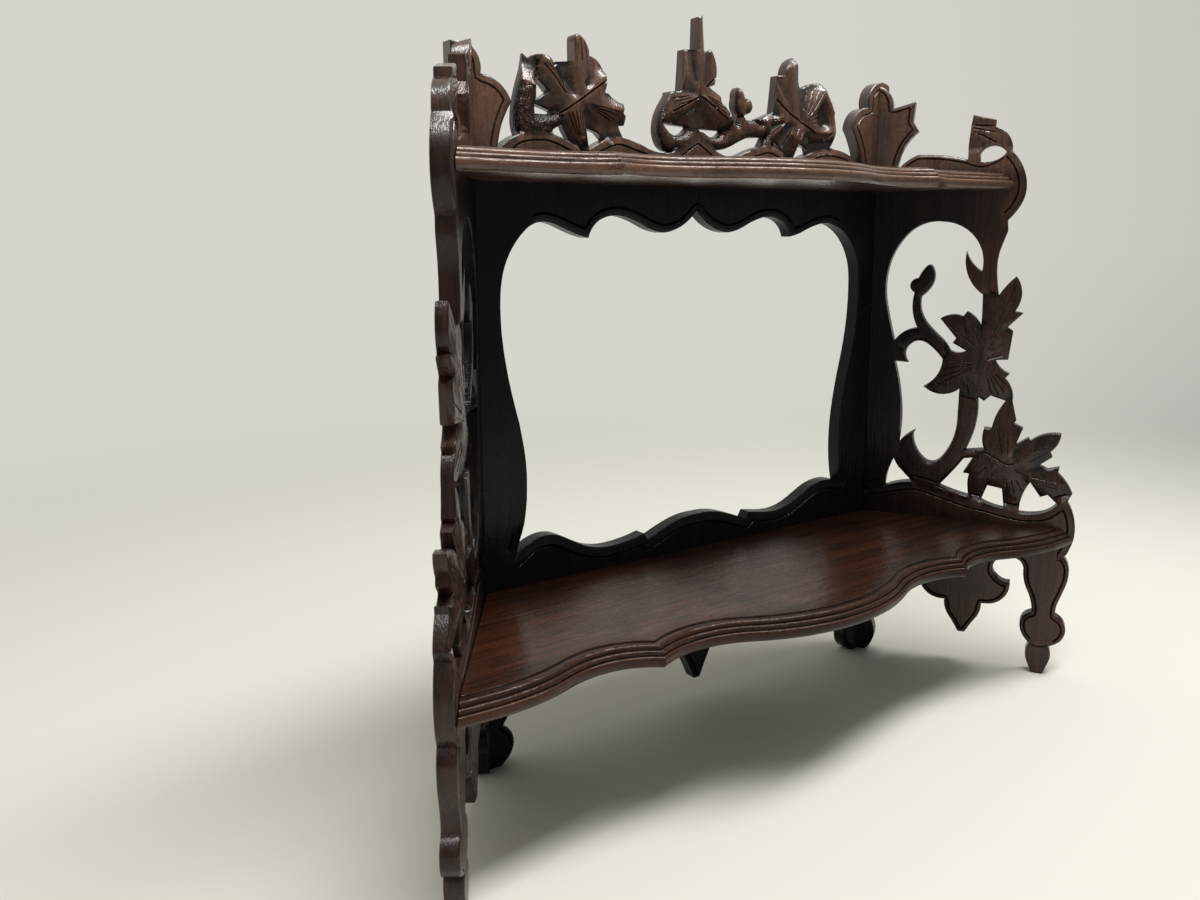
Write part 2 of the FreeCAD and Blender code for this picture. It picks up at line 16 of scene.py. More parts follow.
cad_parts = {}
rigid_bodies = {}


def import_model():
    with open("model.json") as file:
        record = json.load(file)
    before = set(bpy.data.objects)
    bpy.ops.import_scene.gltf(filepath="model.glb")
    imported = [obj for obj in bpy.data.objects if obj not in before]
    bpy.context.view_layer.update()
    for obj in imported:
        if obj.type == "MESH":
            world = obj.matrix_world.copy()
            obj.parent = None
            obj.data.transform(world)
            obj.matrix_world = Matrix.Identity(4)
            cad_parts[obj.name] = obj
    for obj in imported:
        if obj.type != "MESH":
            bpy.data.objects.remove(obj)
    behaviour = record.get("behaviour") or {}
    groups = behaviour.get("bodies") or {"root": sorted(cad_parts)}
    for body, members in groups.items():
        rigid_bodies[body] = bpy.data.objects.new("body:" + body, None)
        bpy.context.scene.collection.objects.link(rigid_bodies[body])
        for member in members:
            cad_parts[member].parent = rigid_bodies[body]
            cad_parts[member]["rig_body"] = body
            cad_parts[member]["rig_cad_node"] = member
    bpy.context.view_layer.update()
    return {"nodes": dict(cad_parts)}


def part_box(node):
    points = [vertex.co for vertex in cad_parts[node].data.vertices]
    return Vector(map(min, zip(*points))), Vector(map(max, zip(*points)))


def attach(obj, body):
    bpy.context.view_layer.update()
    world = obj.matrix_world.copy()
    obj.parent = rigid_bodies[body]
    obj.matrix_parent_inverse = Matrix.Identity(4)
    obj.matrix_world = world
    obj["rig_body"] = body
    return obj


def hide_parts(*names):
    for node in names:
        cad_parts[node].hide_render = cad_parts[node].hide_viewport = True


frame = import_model()
print("nodes:", sorted(frame["nodes"]))

# %% [markdown]
# ## The camera
# The shelf was photographed from the left, a little above the middle. The place, the turn and the lens
# were fitted to straight edges of the boards. A camera could be aimed by eye, but then the boards would
# not run together as they do in the photograph. A small shift stands for a picture cut off-centre.

# %% Camera
CAMERA_PLACE = (-0.4384, -0.4638, 0.3265)
CAMERA_TURN = 34.9
CAMERA_DIP = 9.88
CAMERA_ROLL = -0.21
CAMERA_LENS = 30.91
CAMERA_SHIFT = (-0.0146, -0.0301)
SENSOR_WIDTH = 36

bpy.ops.object.select_all(action="DESELECT")
bpy.ops.object.camera_add(location=CAMERA_PLACE)
camera = bpy.context.object
turn = Euler((math.radians(90 - CAMERA_DIP), 0, math.radians(-CAMERA_TURN))).to_matrix()
roll = Matrix.Rotation(math.radians(CAMERA_ROLL), 3, "Z")
camera.rotation_euler = (turn @ roll).to_euler()
camera.data.sensor_width = SENSOR_WIDTH
camera.data.lens = CAMERA_LENS
camera.data.shift_x, camera.data.shift_y = CAMERA_SHIFT
bpy.context.scene.camera = camera
bpy.context.scene.view_settings.view_transform = "Standard"
print("camera at", tuple(camera.location))

# %% [markdown]
# ## Floor and light
# A shelf like this is photographed on a sheet of pale paper, in soft light from above and a little in
# front. Behind the shelf is a pale sheet, and in front of it a dim room, which is why the varnish looks so
# dark. A picture of a studio could stand for them, but three plain tones that follow the direction are
# enough and need no file. Short helpers for shader nodes come first.

# %% Shader nodes and tones of the surroundings
SHEET = (0.68, 0.66, 0.615, 1)
ROOM = (0.26, 0.253, 0.235, 1)
CEILING = (0.75, 0.74, 0.71, 1)
# Where the room turns into the sheet, going back, and where the ceiling begins, going up.
SHEET_BEGINS = (-0.3, 0.8)
CEILING_BEGINS = (0.4, 0.8)
# The share of the surroundings that lights the shelf, next to the lamp.
FILL_LIGHT = 0.6


def node_tree(owner):
    """Empties an owner's node tree and gives back a function that adds and sets a node."""
    owner.use_nodes = True
    tree = owner.node_tree
    tree.nodes.clear()

    def add(kind, settings=(), **values):
        made = tree.nodes.new(kind)
        for name, value in dict(settings).items():
            setattr(made, name, value)
        for name, value in values.items():
            key = int(name[1:]) if name[1:].isdigit() else name.replace("_", " ")
            if isinstance(value, bpy.types.NodeSocket):
                tree.links.new(value, made.inputs[key])
            else:
                made.inputs[key].default_value = value
        return made

    return add


def mixed(add, share, first, second):
    return add("ShaderNodeMix", {"data_type": "RGBA"}, i0=share, i6=first, i7=second).outputs[2]


def reckoned(add, operation, first, second):
    return add("ShaderNodeMath", {"operation": operation}, i0=first, i1=second).outputs[0]


def smooth_step(add, value, low, high):
    return add("ShaderNodeMapRange", {"interpolation_type": "SMOOTHSTEP"}, Value=value, From_Min=low,
               From_Max=high).outputs[0]


def surrounding_tone(add, direction):
    """The colour of the surroundings in a direction: a pale sheet behind, a dim room in front, a ceiling."""
    parts = add("ShaderNodeSeparateXYZ", Vector=direction).outputs
    ring = mixed(add, smooth_step(add, parts["Y"], *SHEET_BEGINS), ROOM, SHEET)
    return mixed(add, smooth_step(add, parts["Z"], *CEILING_BEGINS), ring, CEILING)


def seen_strength(add):
    """Full strength for what is seen, mirrored or looked through, and less for the light it gives."""
    path = add("ShaderNodeLightPath").outputs
    seen = reckoned(add, "ADD", path["Is Camera Ray"], path["Is Glossy Ray"])
    seen = reckoned(add, "ADD", seen, path["Is Transmission Ray"])
    return add("ShaderNodeMapRange", Value=seen, To_Min=FILL_LIGHT, To_Max=1.0).outputs[0]


print("tones: sheet", SHEET[:3], "room", ROOM[:3], "ceiling", CEILING[:3])

# %% [markdown]
# One large floor takes the shadow. Away from the shelf it takes the colour of the surroundings in that
# direction, so that no horizon shows. A bent backdrop would do that too, but only from one side.

# %% Floor
PAPER = (0.78, 0.757, 0.69, 1)
FLOOR_SIZE = 30.0
FLOOR_FADES = (0.45, 1.5)

bpy.ops.mesh.primitive_plane_add(size=FLOOR_SIZE)
floor = bpy.context.object
floor.name = "paper_floor"
paper = bpy.data.materials.new("pale_paper")
add = node_tree(paper)
place = add("ShaderNodeTexCoord").outputs["Object"]
distance = add("ShaderNodeVectorMath", {"operation": "LENGTH"}, i0=place).outputs["Value"]
outward = add("ShaderNodeVectorMath", {"operation": "NORMALIZE"}, i0=place).outputs[0]
near = add("ShaderNodeBsdfDiffuse", Color=PAPER).outputs[0]
far = add("ShaderNodeEmission", Color=surrounding_tone(add, outward), Strength=seen_strength(add)).outputs[0]
blend = add("ShaderNodeMixShader", i0=smooth_step(add, distance, *FLOOR_FADES), i1=near, i2=far)
add("ShaderNodeOutputMaterial", Surface=blend.outputs[0])
floor.data.materials.append(paper)
print("floor:", FLOOR_SIZE, "m wide")

# %% [markdown]
# The world shows the same tones all round. One long lamp hangs above, like the light of a workshop. It is
# an area lamp, because a small one would give hard shadows that the photograph doesn't have.

# %% World and lamp
LAMP_PLACE = (0.2, -0.42, 1.75)
LAMP_TARGET = (0.14, -0.05, 0.15)
LAMP_SIZE = (1.9, 0.4)
LAMP_POWER = 33

world = bpy.context.scene.world or bpy.data.worlds.new("studio")
bpy.context.scene.world = world
add = node_tree(world)
direction = add("ShaderNodeTexCoord").outputs["Generated"]
around = add("ShaderNodeBackground", Color=surrounding_tone(add, direction), Strength=seen_strength(add))
add("ShaderNodeOutputWorld", Surface=around.outputs[0])

bpy.ops.object.light_add(type="AREA", location=LAMP_PLACE)
lamp = bpy.context.object
lamp.name = "ceiling_light"
lamp.data.shape = "RECTANGLE"
lamp.data.size, lamp.data.size_y = LAMP_SIZE
lamp.data.energy = LAMP_POWER
lamp.rotation_euler = (Vector(LAMP_TARGET) - Vector(LAMP_PLACE)).to_track_quat("-Z", "Y").to_euler()
print("lamp:", lamp.name, LAMP_SIZE, "m")

# %% [markdown]
# ## Walnut
# The boards are old walnut under a thin dark varnish: long soft bands and fine pores along the grain, a
# warm worn brown on the edges, and nearly black dirt in the cuts. Light and shade are painted into the
# colour: where light falls the wood is painted a red brown, and where shade falls it is painted almost
# black and less glossy. The hollows are painted darker as well, partly as dirt and partly as painted shade.
# The carving leaves attributes on each piece that say where: wear, dirt and painted shade, painted light
# (with one rubbed spot), and bark. The grain is noise that is stretched along the board.

# %% Walnut finish
# Near black for the painted shade, and for stains in the grain.
PAINTED_SHADE_AND_STAIN = (0.0022, 0.0021, 0.0027, 1)
BOARD_WOOD = ((0.03, 0.0125, 0.009, 1), (0.2, 0.086, 0.053, 1))
SHELF_WOOD = ((0.06, 0.017, 0.0065, 1), (0.2, 0.06, 0.02, 1))
WORN_WOOD = (0.26, 0.13, 0.068, 1)
# Near black for pores, bark, dirt and the painted shade of the hollows.
PAINTED_SHADE_AND_DIRT = (0.0035, 0.0026, 0.0024, 1)
MARKS = ("wear", "dirt", "faded", "bark")
GRAIN_STRETCH = 0.045
# The gloss where the painted shade is darkest, the share of the gloss that bark has, and the coat's roughness.
PAINTED_SHADE_GLOSS = 0.18
BARK_GLOSS = 0.45
COAT_ROUGHNESS = 0.1


def walnut(name, along, wood, gloss):
    """Varnished walnut of a dark and a warm brown, whose grain runs along one axis of the object."""
    material = bpy.data.materials.new(name)
    add = node_tree(material)

    def cloudy(coords, scale, detail, roughness, distortion=0.0):
        return add("ShaderNodeTexNoise", Vector=coords, Scale=scale, Detail=detail, Roughness=roughness,
                   Distortion=distortion).outputs["Fac"]

    def ranged(value, low, high, least=0.0, most=1.0):
        return add("ShaderNodeMapRange", Value=value, From_Min=low, From_Max=high, To_Min=least,
                   To_Max=most).outputs[0]

    def times(first, second):
        return reckoned(add, "MULTIPLY", first, second)

    place = add("ShaderNodeTexCoord").outputs["Object"]
    stretch = [1.0, 1.0, 1.0]
    stretch["xyz".index(along)] = GRAIN_STRETCH
    grain = add("ShaderNodeMapping", Vector=place, Scale=stretch).outputs[0]
    bands = cloudy(grain, 150.0, 6.0, 0.65, 0.4)
    pores = cloudy(grain, 900.0, 2.0, 0.5)
    stains = cloudy(place, 16.0, 4.0, 0.65)
    specks = cloudy(place, 420.0, 2.0, 0.6)
    knobs = add("ShaderNodeTexVoronoi", Vector=place, Scale=850.0).outputs["Distance"]
    wear, dirt, faded, bark = (add("ShaderNodeAttribute", {"attribute_name": key}).outputs["Fac"]
                               for key in MARKS)
    rubbed = times(ranged(stains, 0.3, 0.6, 0.25, 1.0), ranged(specks, 0.35, 0.6, 0.3, 1.0))
    # Painted light: the wood's own colour where light is painted, near black where shade is painted.
    colour = mixed(add, faded, PAINTED_SHADE_AND_STAIN, mixed(add, ranged(bands, 0.35, 0.68), *wood))
    for share, over in ((ranged(pores, 0.56, 0.7, 0.0, 0.7), PAINTED_SHADE_AND_DIRT),
                        (ranged(stains, 0.44, 0.72, 0.0, 0.7), PAINTED_SHADE_AND_STAIN),
                        (times(wear, rubbed), WORN_WOOD),
                        (times(bark, ranged(knobs, 0.25, 0.6, 0.15, 0.9)), PAINTED_SHADE_AND_DIRT),
                        (dirt, PAINTED_SHADE_AND_DIRT)):
        colour = mixed(add, share, colour, over)
    rough = reckoned(add, "ADD", ranged(stains, 0.3, 0.7, 0.27, 0.4), ranged(specks, 0.4, 0.65, -0.05, 0.08))
    bump = add("ShaderNodeBump", Strength=0.5, Distance=0.0005, Height=pores).outputs[0]
    for height, strength, rise in ((bands, 0.2, 0.0008), (specks, 0.12, 0.0006),
                                   (times(knobs, bark), 0.55, -0.0008)):
        bump = add("ShaderNodeBump", Strength=strength, Distance=rise, Height=height, Normal=bump).outputs[0]
    # The gloss follows the painted light as well, and is lower where shade is painted.
    shine = times(ranged(faded, 0.1, 0.8, PAINTED_SHADE_GLOSS, gloss), ranged(bark, 0.0, 1.0, 1.0, BARK_GLOSS))
    shader = add("ShaderNodeBsdfPrincipled", Base_Color=colour, Roughness=rough, Normal=bump,
                 Coat_Normal=bump, Specular_IOR_Level=times(shine, 0.5), Coat_Weight=shine,
                 Coat_Roughness=COAT_ROUGHNESS)
    add("ShaderNodeOutputMaterial", Surface=shader.outputs[0])
    return material


UPRIGHT_WALNUT = walnut("walnut_upright_grain", "z", BOARD_WOOD, 0.85)
SHELF_WALNUT = walnut("walnut_lower_shelf", "x", SHELF_WOOD, 0.5)
WORN_WALNUT = walnut("walnut_upper_shelf", "x", BOARD_WOOD, 0.7)
print("finishes:", UPRIGHT_WALNUT.name, SHELF_WALNUT.name, WORN_WALNUT.name)

# %% [markdown]
# ## Nails
# Small cut nails hold the boards together, with only their heads showing on the outer faces. They could be
# made anew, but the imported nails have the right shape. So they stay and get a dark iron with specks of rust.

# %% Nail iron
IRON = (0.03, 0.028, 0.026, 1)
RUST = (0.07, 0.035, 0.02, 1)
RUST_BEGINS = (0.4, 0.65)

nail_iron = bpy.data.materials.new("nail_iron")
add = node_tree(nail_iron)
place = add("ShaderNodeTexCoord").outputs["Object"]
specks = add("ShaderNodeTexNoise", Vector=place, Scale=1600.0, Detail=3.0).outputs["Fac"]
tone = add("ShaderNodeValToRGB", Fac=specks)
for stop, position, colour in zip(tone.color_ramp.elements, RUST_BEGINS, (IRON, RUST)):
    stop.position = position
    stop.color = colour
bump = add("ShaderNodeBump", Strength=0.3, Distance=0.0002, Height=specks)
shader = add("ShaderNodeBsdfPrincipled", Base_Color=tone.outputs[0], Roughness=0.55, Metallic=0.8,
             Normal=bump.outputs[0])
add("ShaderNodeOutputMaterial", Surface=shader.outputs[0])
nails = [name for name in frame["nodes"] if name.endswith("nails")]
for name in nails:
    frame["nodes"][name].data.materials.clear()
    frame["nodes"][name].data.materials.append(nail_iron)
print("nail sets:", len(nails))

# %% [markdown]
# ## How a board is carved
# Each pierced board is one flat blank whose outline was sawn and whose show face was then worked with
# gouges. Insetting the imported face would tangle, because the fret is often narrower than its border, so
# the face is laid out as the carver did it: the outline, the border line, the veins and the cracks are
# drawn as lines on the flat board, the drawing is meshed, and every point is then cut to its depth.
# All drawing is done in millimetres: across the board from its rear corner or middle, and up.

# %% Boards and their flat drawing planes
MM = 0.001
SPLAY = math.radians(33)
HALF_BACK = 165.0
BACK_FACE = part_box("lower_shelf")[1].y
SIN, COS = math.sin(SPLAY), math.cos(SPLAY)
# Each board: the origin of its drawing, the direction across it, and the way its show face looks.
PLANES = {
    "back_panel": np.array(((0, BACK_FACE, 0), (1, 0, 0), (0, -1, 0))),
    "left_side_panel": np.array(((-HALF_BACK * MM, BACK_FACE, 0), (-SIN, -COS, 0), (COS, -SIN, 0))),
    "right_side_panel": np.array(((HALF_BACK * MM, BACK_FACE, 0), (SIN, -COS, 0), (-COS, -SIN, 0))),
}


def to_drawing(board, points):
    """Points in space as (across, up, in front of the show face), in millimetres."""
    origin, across, facing = PLANES[board]
    away = (np.asarray(points, float) - origin) / MM
    return np.stack([away @ across, away[:, 2], away @ facing], axis=1)


def to_space(board, flat, front):
    origin, across, facing = PLANES[board]
    place = origin + MM * (np.outer(flat[:, 0], across) + np.outer(front, facing))
    place[:, 2] += MM * flat[:, 1]
    return place


print("show face of the back at y", round(BACK_FACE, 4))

# %% [markdown]
# The blank starts as a copy of the imported board, whose loose triangles are merged. It could be drawn again,
# but the copy already has every sawn edge in its place.

# %% Copy an imported board
def activate(thing):
    bpy.ops.object.select_all(action="DESELECT")
    thing.select_set(True)
    bpy.context.view_layer.objects.active = thing


def merge_points(threshold):
    """Merges the active piece's points that lie together, and turns its faces outward."""
    bpy.ops.object.mode_set(mode="EDIT")
    bpy.ops.mesh.select_all(action="SELECT")
    bpy.ops.mesh.remove_doubles(threshold=threshold)
    bpy.ops.mesh.normals_make_consistent(inside=False)
    bpy.ops.object.mode_set(mode="OBJECT")


def copy_node(node, name):
    """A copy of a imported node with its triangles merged."""
    activate(frame["nodes"][node])
    bpy.ops.object.duplicate()
    piece = bpy.context.object
    piece.name = name
    piece.data.name = name
    piece.data.materials.clear()
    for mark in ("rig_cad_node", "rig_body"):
        del piece[mark]
    bpy.ops.mesh.customdata_custom_splitnormals_clear()
    merge_points(2e-6)
    return piece


def select_only(mesh, kind, test):
    """Goes into edit mode with just those faces or edges of the active piece selected that pass a test."""
    bpy.ops.object.mode_set(mode="EDIT")
    bpy.ops.mesh.select_mode(type=kind)
    bpy.ops.mesh.select_all(action="DESELECT")
    bpy.ops.object.mode_set(mode="OBJECT")
    for part in mesh.polygons if kind == "FACE" else mesh.edges:
        part.select = test(part)
    bpy.ops.object.mode_set(mode="EDIT")


print("triangles of the packed boards:",
      {board: len(frame["nodes"][board].data.polygons) for board in PLANES})

# %% [markdown]
# The show face and the rear face are then taken off the copy. The sawn edge that is left keeps the exact
# outline, and the new faces are fitted into it later.

# %% Open the two faces of a board
# A point belongs to a face up to this far from its plane, in millimetres.
FACE_GAP = 0.02


def border_loops(faces):
    """The closed lines of vertices round a set of faces."""
    used = {}
    for face in faces:
        for edge in face.edge_keys:
            used[edge] = used.get(edge, 0) + 1
    beside = {}
    for start, end in (edge for edge, count in used.items() if count == 1):
        beside.setdefault(start, []).append(end)
        beside.setdefault(end, []).append(start)
    loops = []
    while beside:
        first = next(iter(beside))
        loop = [first]
        here = beside[first].pop()
        beside[here].remove(first)
        while here != first:
            loop.append(here)
            onward = beside[here].pop()
            beside[onward].remove(here)
            here = onward
        beside = {vertex: ends for vertex, ends in beside.items() if ends}
        loops.append(loop)
    return loops


def open_board(board, piece):
    """Takes off the show face and the rear face, and gives back the outlines of both."""
    mesh = piece.data
    facing = Vector(PLANES[board][2])
    spots = to_drawing(board, [vertex.co for vertex in mesh.vertices])
    rear = spots[:, 2].min()
    outlines = []
    chosen = set()
    for depth, sign in ((0.0, 1), (rear, -1)):
        flat = [face for face in mesh.polygons if face.normal.dot(facing) * sign > 0.999
                and abs(spots[face.vertices[0], 2] - depth) < FACE_GAP]
        outlines.append([spots[loop, :2] for loop in border_loops(flat)])
        chosen.update(face.index for face in flat)
    select_only(mesh, "FACE", lambda face: face.index in chosen)
    bpy.ops.mesh.delete(type="FACE")
    bpy.ops.object.mode_set(mode="OBJECT")
    return outlines[0], outlines[1], rear


print("a face is found within", FACE_GAP, "mm")

# %% [markdown]
# Lines on the drawing are kept as rows of points. Blender's own curves could hold them, but rows of points
# are easier to shift and to measure. These helpers space points evenly along a line, bend it smoothly,
# find the way to its left, split it, and pick the stretch of an outline that a border line follows.

# %% Lines on the drawing
# Farther than any point of a drawing.
FAR = 999


def spaced(line, step, closed=False):
    """Points about one step apart along a line, its corners included."""
    line = [np.asarray(point, float) for point in line]
    ends = line[1:] + line[:1] if closed else line[1:]
    points = []
    for start, end in zip(line, ends):
        count = max(1, int(round(np.linalg.norm(end - start) / step)))
        points += [start + (end - start) * index / count for index in range(count)]
    if not closed:
        points.append(line[-1])
    return np.array(points)


def flowing(points, count=8):
    """A smooth curve through a few points."""
    points = [np.array(point, float) for point in points]
    padded = [2 * points[0] - points[1]] + points + [2 * points[-1] - points[-2]]
    made = []
    for before, start, end, after in zip(padded, padded[1:], padded[2:], padded[3:]):
        bend = 2 * before - 5 * start + 4 * end - after
        twist = 3 * start - before - 3 * end + after
        for t in (index / count for index in range(count)):
            made.append(0.5 * (2 * start + (end - before) * t + bend * t * t + twist * t ** 3))
    made.append(points[-1])
    return np.array(made)


def sideways(points, closed=False):
    """Unit vectors to the left of each point's direction of travel."""
    if closed:
        along = np.roll(points, -1, axis=0) - np.roll(points, 1, axis=0)
    else:
        along = np.gradient(points, axis=0)
    along /= np.maximum(np.linalg.norm(along, axis=1, keepdims=True), 1e-9)
    return np.stack([-along[:, 1], along[:, 0]], axis=1)


def runs_of(points, keep, longest):
    """Splits a row of points where one is dropped or the gap is long."""
    runs = [[]]
    for point, good in zip(points, keep):
        if good and runs[-1] and np.linalg.norm(point - runs[-1][-1]) > longest:
            runs.append([])
        if good:
            runs[-1].append(point)
    return [np.array(run) for run in runs if len(run) > 1]


def picked(loop, across, up):
    """The stretches of an outline between two distances across and between two heights."""
    even = spaced(loop, 1.0, True)
    aside = np.abs(even[:, 0])
    keep = (aside > across[0]) & (aside < across[1]) & (even[:, 1] > up[0]) & (even[:, 1] < up[1])
    first = int(np.argmin(keep))
    return runs_of(np.roll(even, -first, axis=0), np.roll(keep, -first), 3.0)


print("a line of 10 mm in steps of 2 mm has", len(spaced(((0, 0), (10, 0)), 2.0)), "points")

# %% [markdown]
# Two more questions come up all the time: how far a point lies from a set of lines, and whether it is on
# the wood. A tree of points answers the first, and counting crossed outlines answers the second.

# %% Places on the drawing
LINE_STEP = 0.3


class Finder:
    """Finds the nearest of many points on the drawing."""

    def __init__(self, points):
        self.tree = kdtree.KDTree(len(points))
        for index, point in enumerate(points):
            self.tree.insert((point[0], point[1], 0), index)
        self.tree.balance()

    def near(self, points):
        found = [self.tree.find((point[0], point[1], 0)) for point in points]
        return np.array([hit[2] for hit in found]), np.array([hit[1] for hit in found], int)


def finder_along(lines, closed=False):
    return Finder(np.concatenate([spaced(line, LINE_STEP, closed) for line in lines]))


def inside(points, loops):
    """Whether each point lies on the wood, counting the outlines that a ray to the right crosses."""
    points = np.asarray(points, float)
    odd = np.zeros(len(points), bool)
    for loop in loops:
        for start, end in zip(loop, np.roll(loop, -1, axis=0)):
            spans = (start[1] > points[:, 1]) != (end[1] > points[:, 1])
            if spans.any():
                slope = (end[0] - start[0]) / (end[1] - start[1])
                odd ^= spans & (points[:, 0] < start[0] + slope * (points[:, 1] - start[1]))
    return odd


def within(corners, *tests):
    """A place on the drawing: inside an outline, and where every test holds."""
    outline = [np.array(corners, float)]
    return lambda points: np.all([inside(points, outline)] + [test(points) for test in tests], axis=0)


SAMPLE = ((0, 0), (20, 0), (20, 20), (0, 20))
print("a point in a square and one beside it:", within(SAMPLE)([(5, 5), (25, 5)]))

# %% [markdown]
# A cut is a V made with a veiner: a line with a depth and a half width. Its bottom and both its lips go
# into the drawing, so that the mesh has an edge along each of them and the cut stays crisp.

# %% Cuts
CUT_STEP = 1.3
BORDER_STEP = 1.2
BORDER_DEPTH = 1.2
BORDER_HALF = 0.85


def cut(points, depth, half):
    return {"line": spaced(points, CUT_STEP), "depth": depth, "half": half}


def border_cuts(lines, edges, loops, gap):
    """The border line: a cut that keeps one gap from the sawn edges it follows."""
    followed = finder_along(lines)
    made = []
    for line in lines:
        points = spaced(line, BORDER_STEP)
        for sign in (1, -1):
            moved = points + sign * gap * sideways(points)
            clear = (followed.near(moved)[0] > gap - 0.06) & inside(moved, loops)
            clear &= edges.near(moved)[0] > 1.3
            for run in runs_of(moved, clear, 2.0 * gap):
                if len(run) > 4:
                    made.append({"line": run, "depth": BORDER_DEPTH, "half": BORDER_HALF})
    return made


print("border line:", BORDER_DEPTH, "mm deep,", 2 * BORDER_HALF, "mm wide")

# %% [markdown]
# The drawing is meshed as a net of triangles between all its lines, with more points where the wood is
# carved. The net has to keep every corner of the sawn edge, so that face and edge close without a gap.
# A grid would be simpler, but it would step along the outlines and the cuts.

# %% Mesh a drawing
ARRIS = 0.5
NET_STEP = 1.5


def net(loops, cuts, guides, spots, steps):
    """Points and triangles of a face with its outlines, lines at some steps inside them, cuts and ridges."""
    edges = finder_along(loops, True)
    points = []
    lines = []

    def add_line(line, closed=False):
        first = len(points)
        points.extend(line)
        lines.extend((first + index, first + index + 1) for index in range(len(line) - 1))
        if closed:
            lines.append((first + len(line) - 1, first))

    for loop in loops:
        add_line(loop, True)
    for loop in loops:
        even = spaced(loop, NET_STEP, True)
        for step in steps:
            for sign in (1, -1):
                moved = even + sign * step * sideways(even, True)
                clear = (edges.near(moved)[0] > step - 0.05) & inside(moved, loops)
                for run in runs_of(moved, clear, 2.5):
                    add_line(run)
    sides = [one["line"] + side * sideways(one["line"]) for one in cuts
             for side in (0, one["half"], -one["half"])]
    for line in sides + guides:
        clear = (edges.near(line)[0] > max(steps) + 0.2) & inside(line, loops)
        for run in runs_of(line, clear, 9.0):
            add_line(run)
    if len(spots):
        clear = (edges.near(spots)[0] > max(steps) + 0.4) & inside(spots, loops)
        points.extend(spots[clear])
    flat = [Vector((point[0], point[1])) for point in points]
    corners, _, faces, _, _, _ = geometry.delaunay_2d_cdt(flat, lines, [], 0, 1e-4)
    corners = np.array([tuple(corner) for corner in corners])
    faces = np.array([tuple(face) for face in faces])
    middles = corners[faces].mean(axis=1)
    return corners, faces[inside(middles, loops)]


def scattered(loops, step, seed):
    """Points about one step apart all over the box of some outlines, shaken a little."""
    shaken = np.random.default_rng(seed)
    spots = np.concatenate(loops)
    across, up = np.meshgrid(*(np.arange(low, high, step) for low, high in zip(spots.min(0), spots.max(0))))
    points = np.stack([across.ravel(), up.ravel()], axis=1)
    return points + shaken.uniform(-0.3 * step, 0.3 * step, points.shape)


print("triangles of a plain square:", len(net([np.array(SAMPLE, float)], [], [], [], (ARRIS,))[1]))

# %% [markdown]
# Old wood shows where it was touched. Wear is left where hands and cloths reach, on the arrises and the
# ridges, and dirt in the cuts. The hollows are painted darker, partly as dirt and partly as painted shade.
# Both could be painted by hand, but they follow from the carving: a point that stands proud of the wood
# around it is rubbed, and one that lies low is darkened.

# %% Marks of use
WEAR_REACH = 1.1
FURROW_STEP = 0.25


def unevenness(points, across, up, seed):
    """Smooth noise at points of the drawing, at one scale across and another going up."""
    return np.array([noise.noise((point[0] * across, point[1] * up, seed)) for point in points])


def rubbed(away):
    return np.clip(1 - away / WEAR_REACH, 0, 1)


def rounded(away):
    return (1 - np.clip(away / ARRIS, 0, 1)) ** 2


def proudness(depth, faces):
    """How far each point stands proud of the wood around it, below zero in a hollow."""
    pairs = np.concatenate([faces[:, (0, 1)], faces[:, (1, 2)], faces[:, (2, 0)]])
    ends = np.concatenate([pairs, pairs[:, ::-1]])
    count = np.maximum(np.bincount(ends[:, 0], minlength=len(depth)), 1)
    around = depth
    for _ in range(5):
        around = np.bincount(ends[:, 0], weights=around[ends[:, 1]], minlength=len(depth)) / count
    return depth - around


def furrows(cuts, corners):
    """How deep the cuts are at each point, and how much dirt they hold there."""
    bottoms = [spaced(one["line"], FURROW_STEP) for one in cuts]
    depths, halves = (np.concatenate([np.full(len(line), one[key]) for line, one in zip(bottoms, cuts)])
                      for key in ("depth", "half"))
    reach, index = Finder(np.concatenate(bottoms)).near(corners)
    share = np.clip(1 - reach / halves[index], 0, 1)
    return depths[index] * share, np.clip(1.3 * depths[index] - 0.4, 0, 1) * share


def leave_mark(mesh, key, values, domain):
    layer = mesh.attributes.new(key, "FLOAT", domain)
    layer.data.foreach_set("value", values.astype(np.float32))


print("arrises are rounded over", ARRIS, "mm and worn over", WEAR_REACH, "mm")

# %% [markdown]
# The two new faces are joined to the sawn edge by moving its points to the cut depth and merging the seams.
# Every finished piece is then said to ride on the root, to be walnut, and to replace its imported node.

# %% Join the faces to the sawn edge
# How much painted light the sawn edges of a board take from the face beside them, and how much of its bark
# they show.
EDGE_LIGHT = {"back_panel": 0.7, "left_side_panel": 0.9, "right_side_panel": 0.4}
EDGE_BARK = 0.5


def dress(piece, node, material):
    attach(piece, "root")
    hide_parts(node)
    piece.data.materials.append(material)
    print(piece.name, "faces:", len(piece.data.polygons))


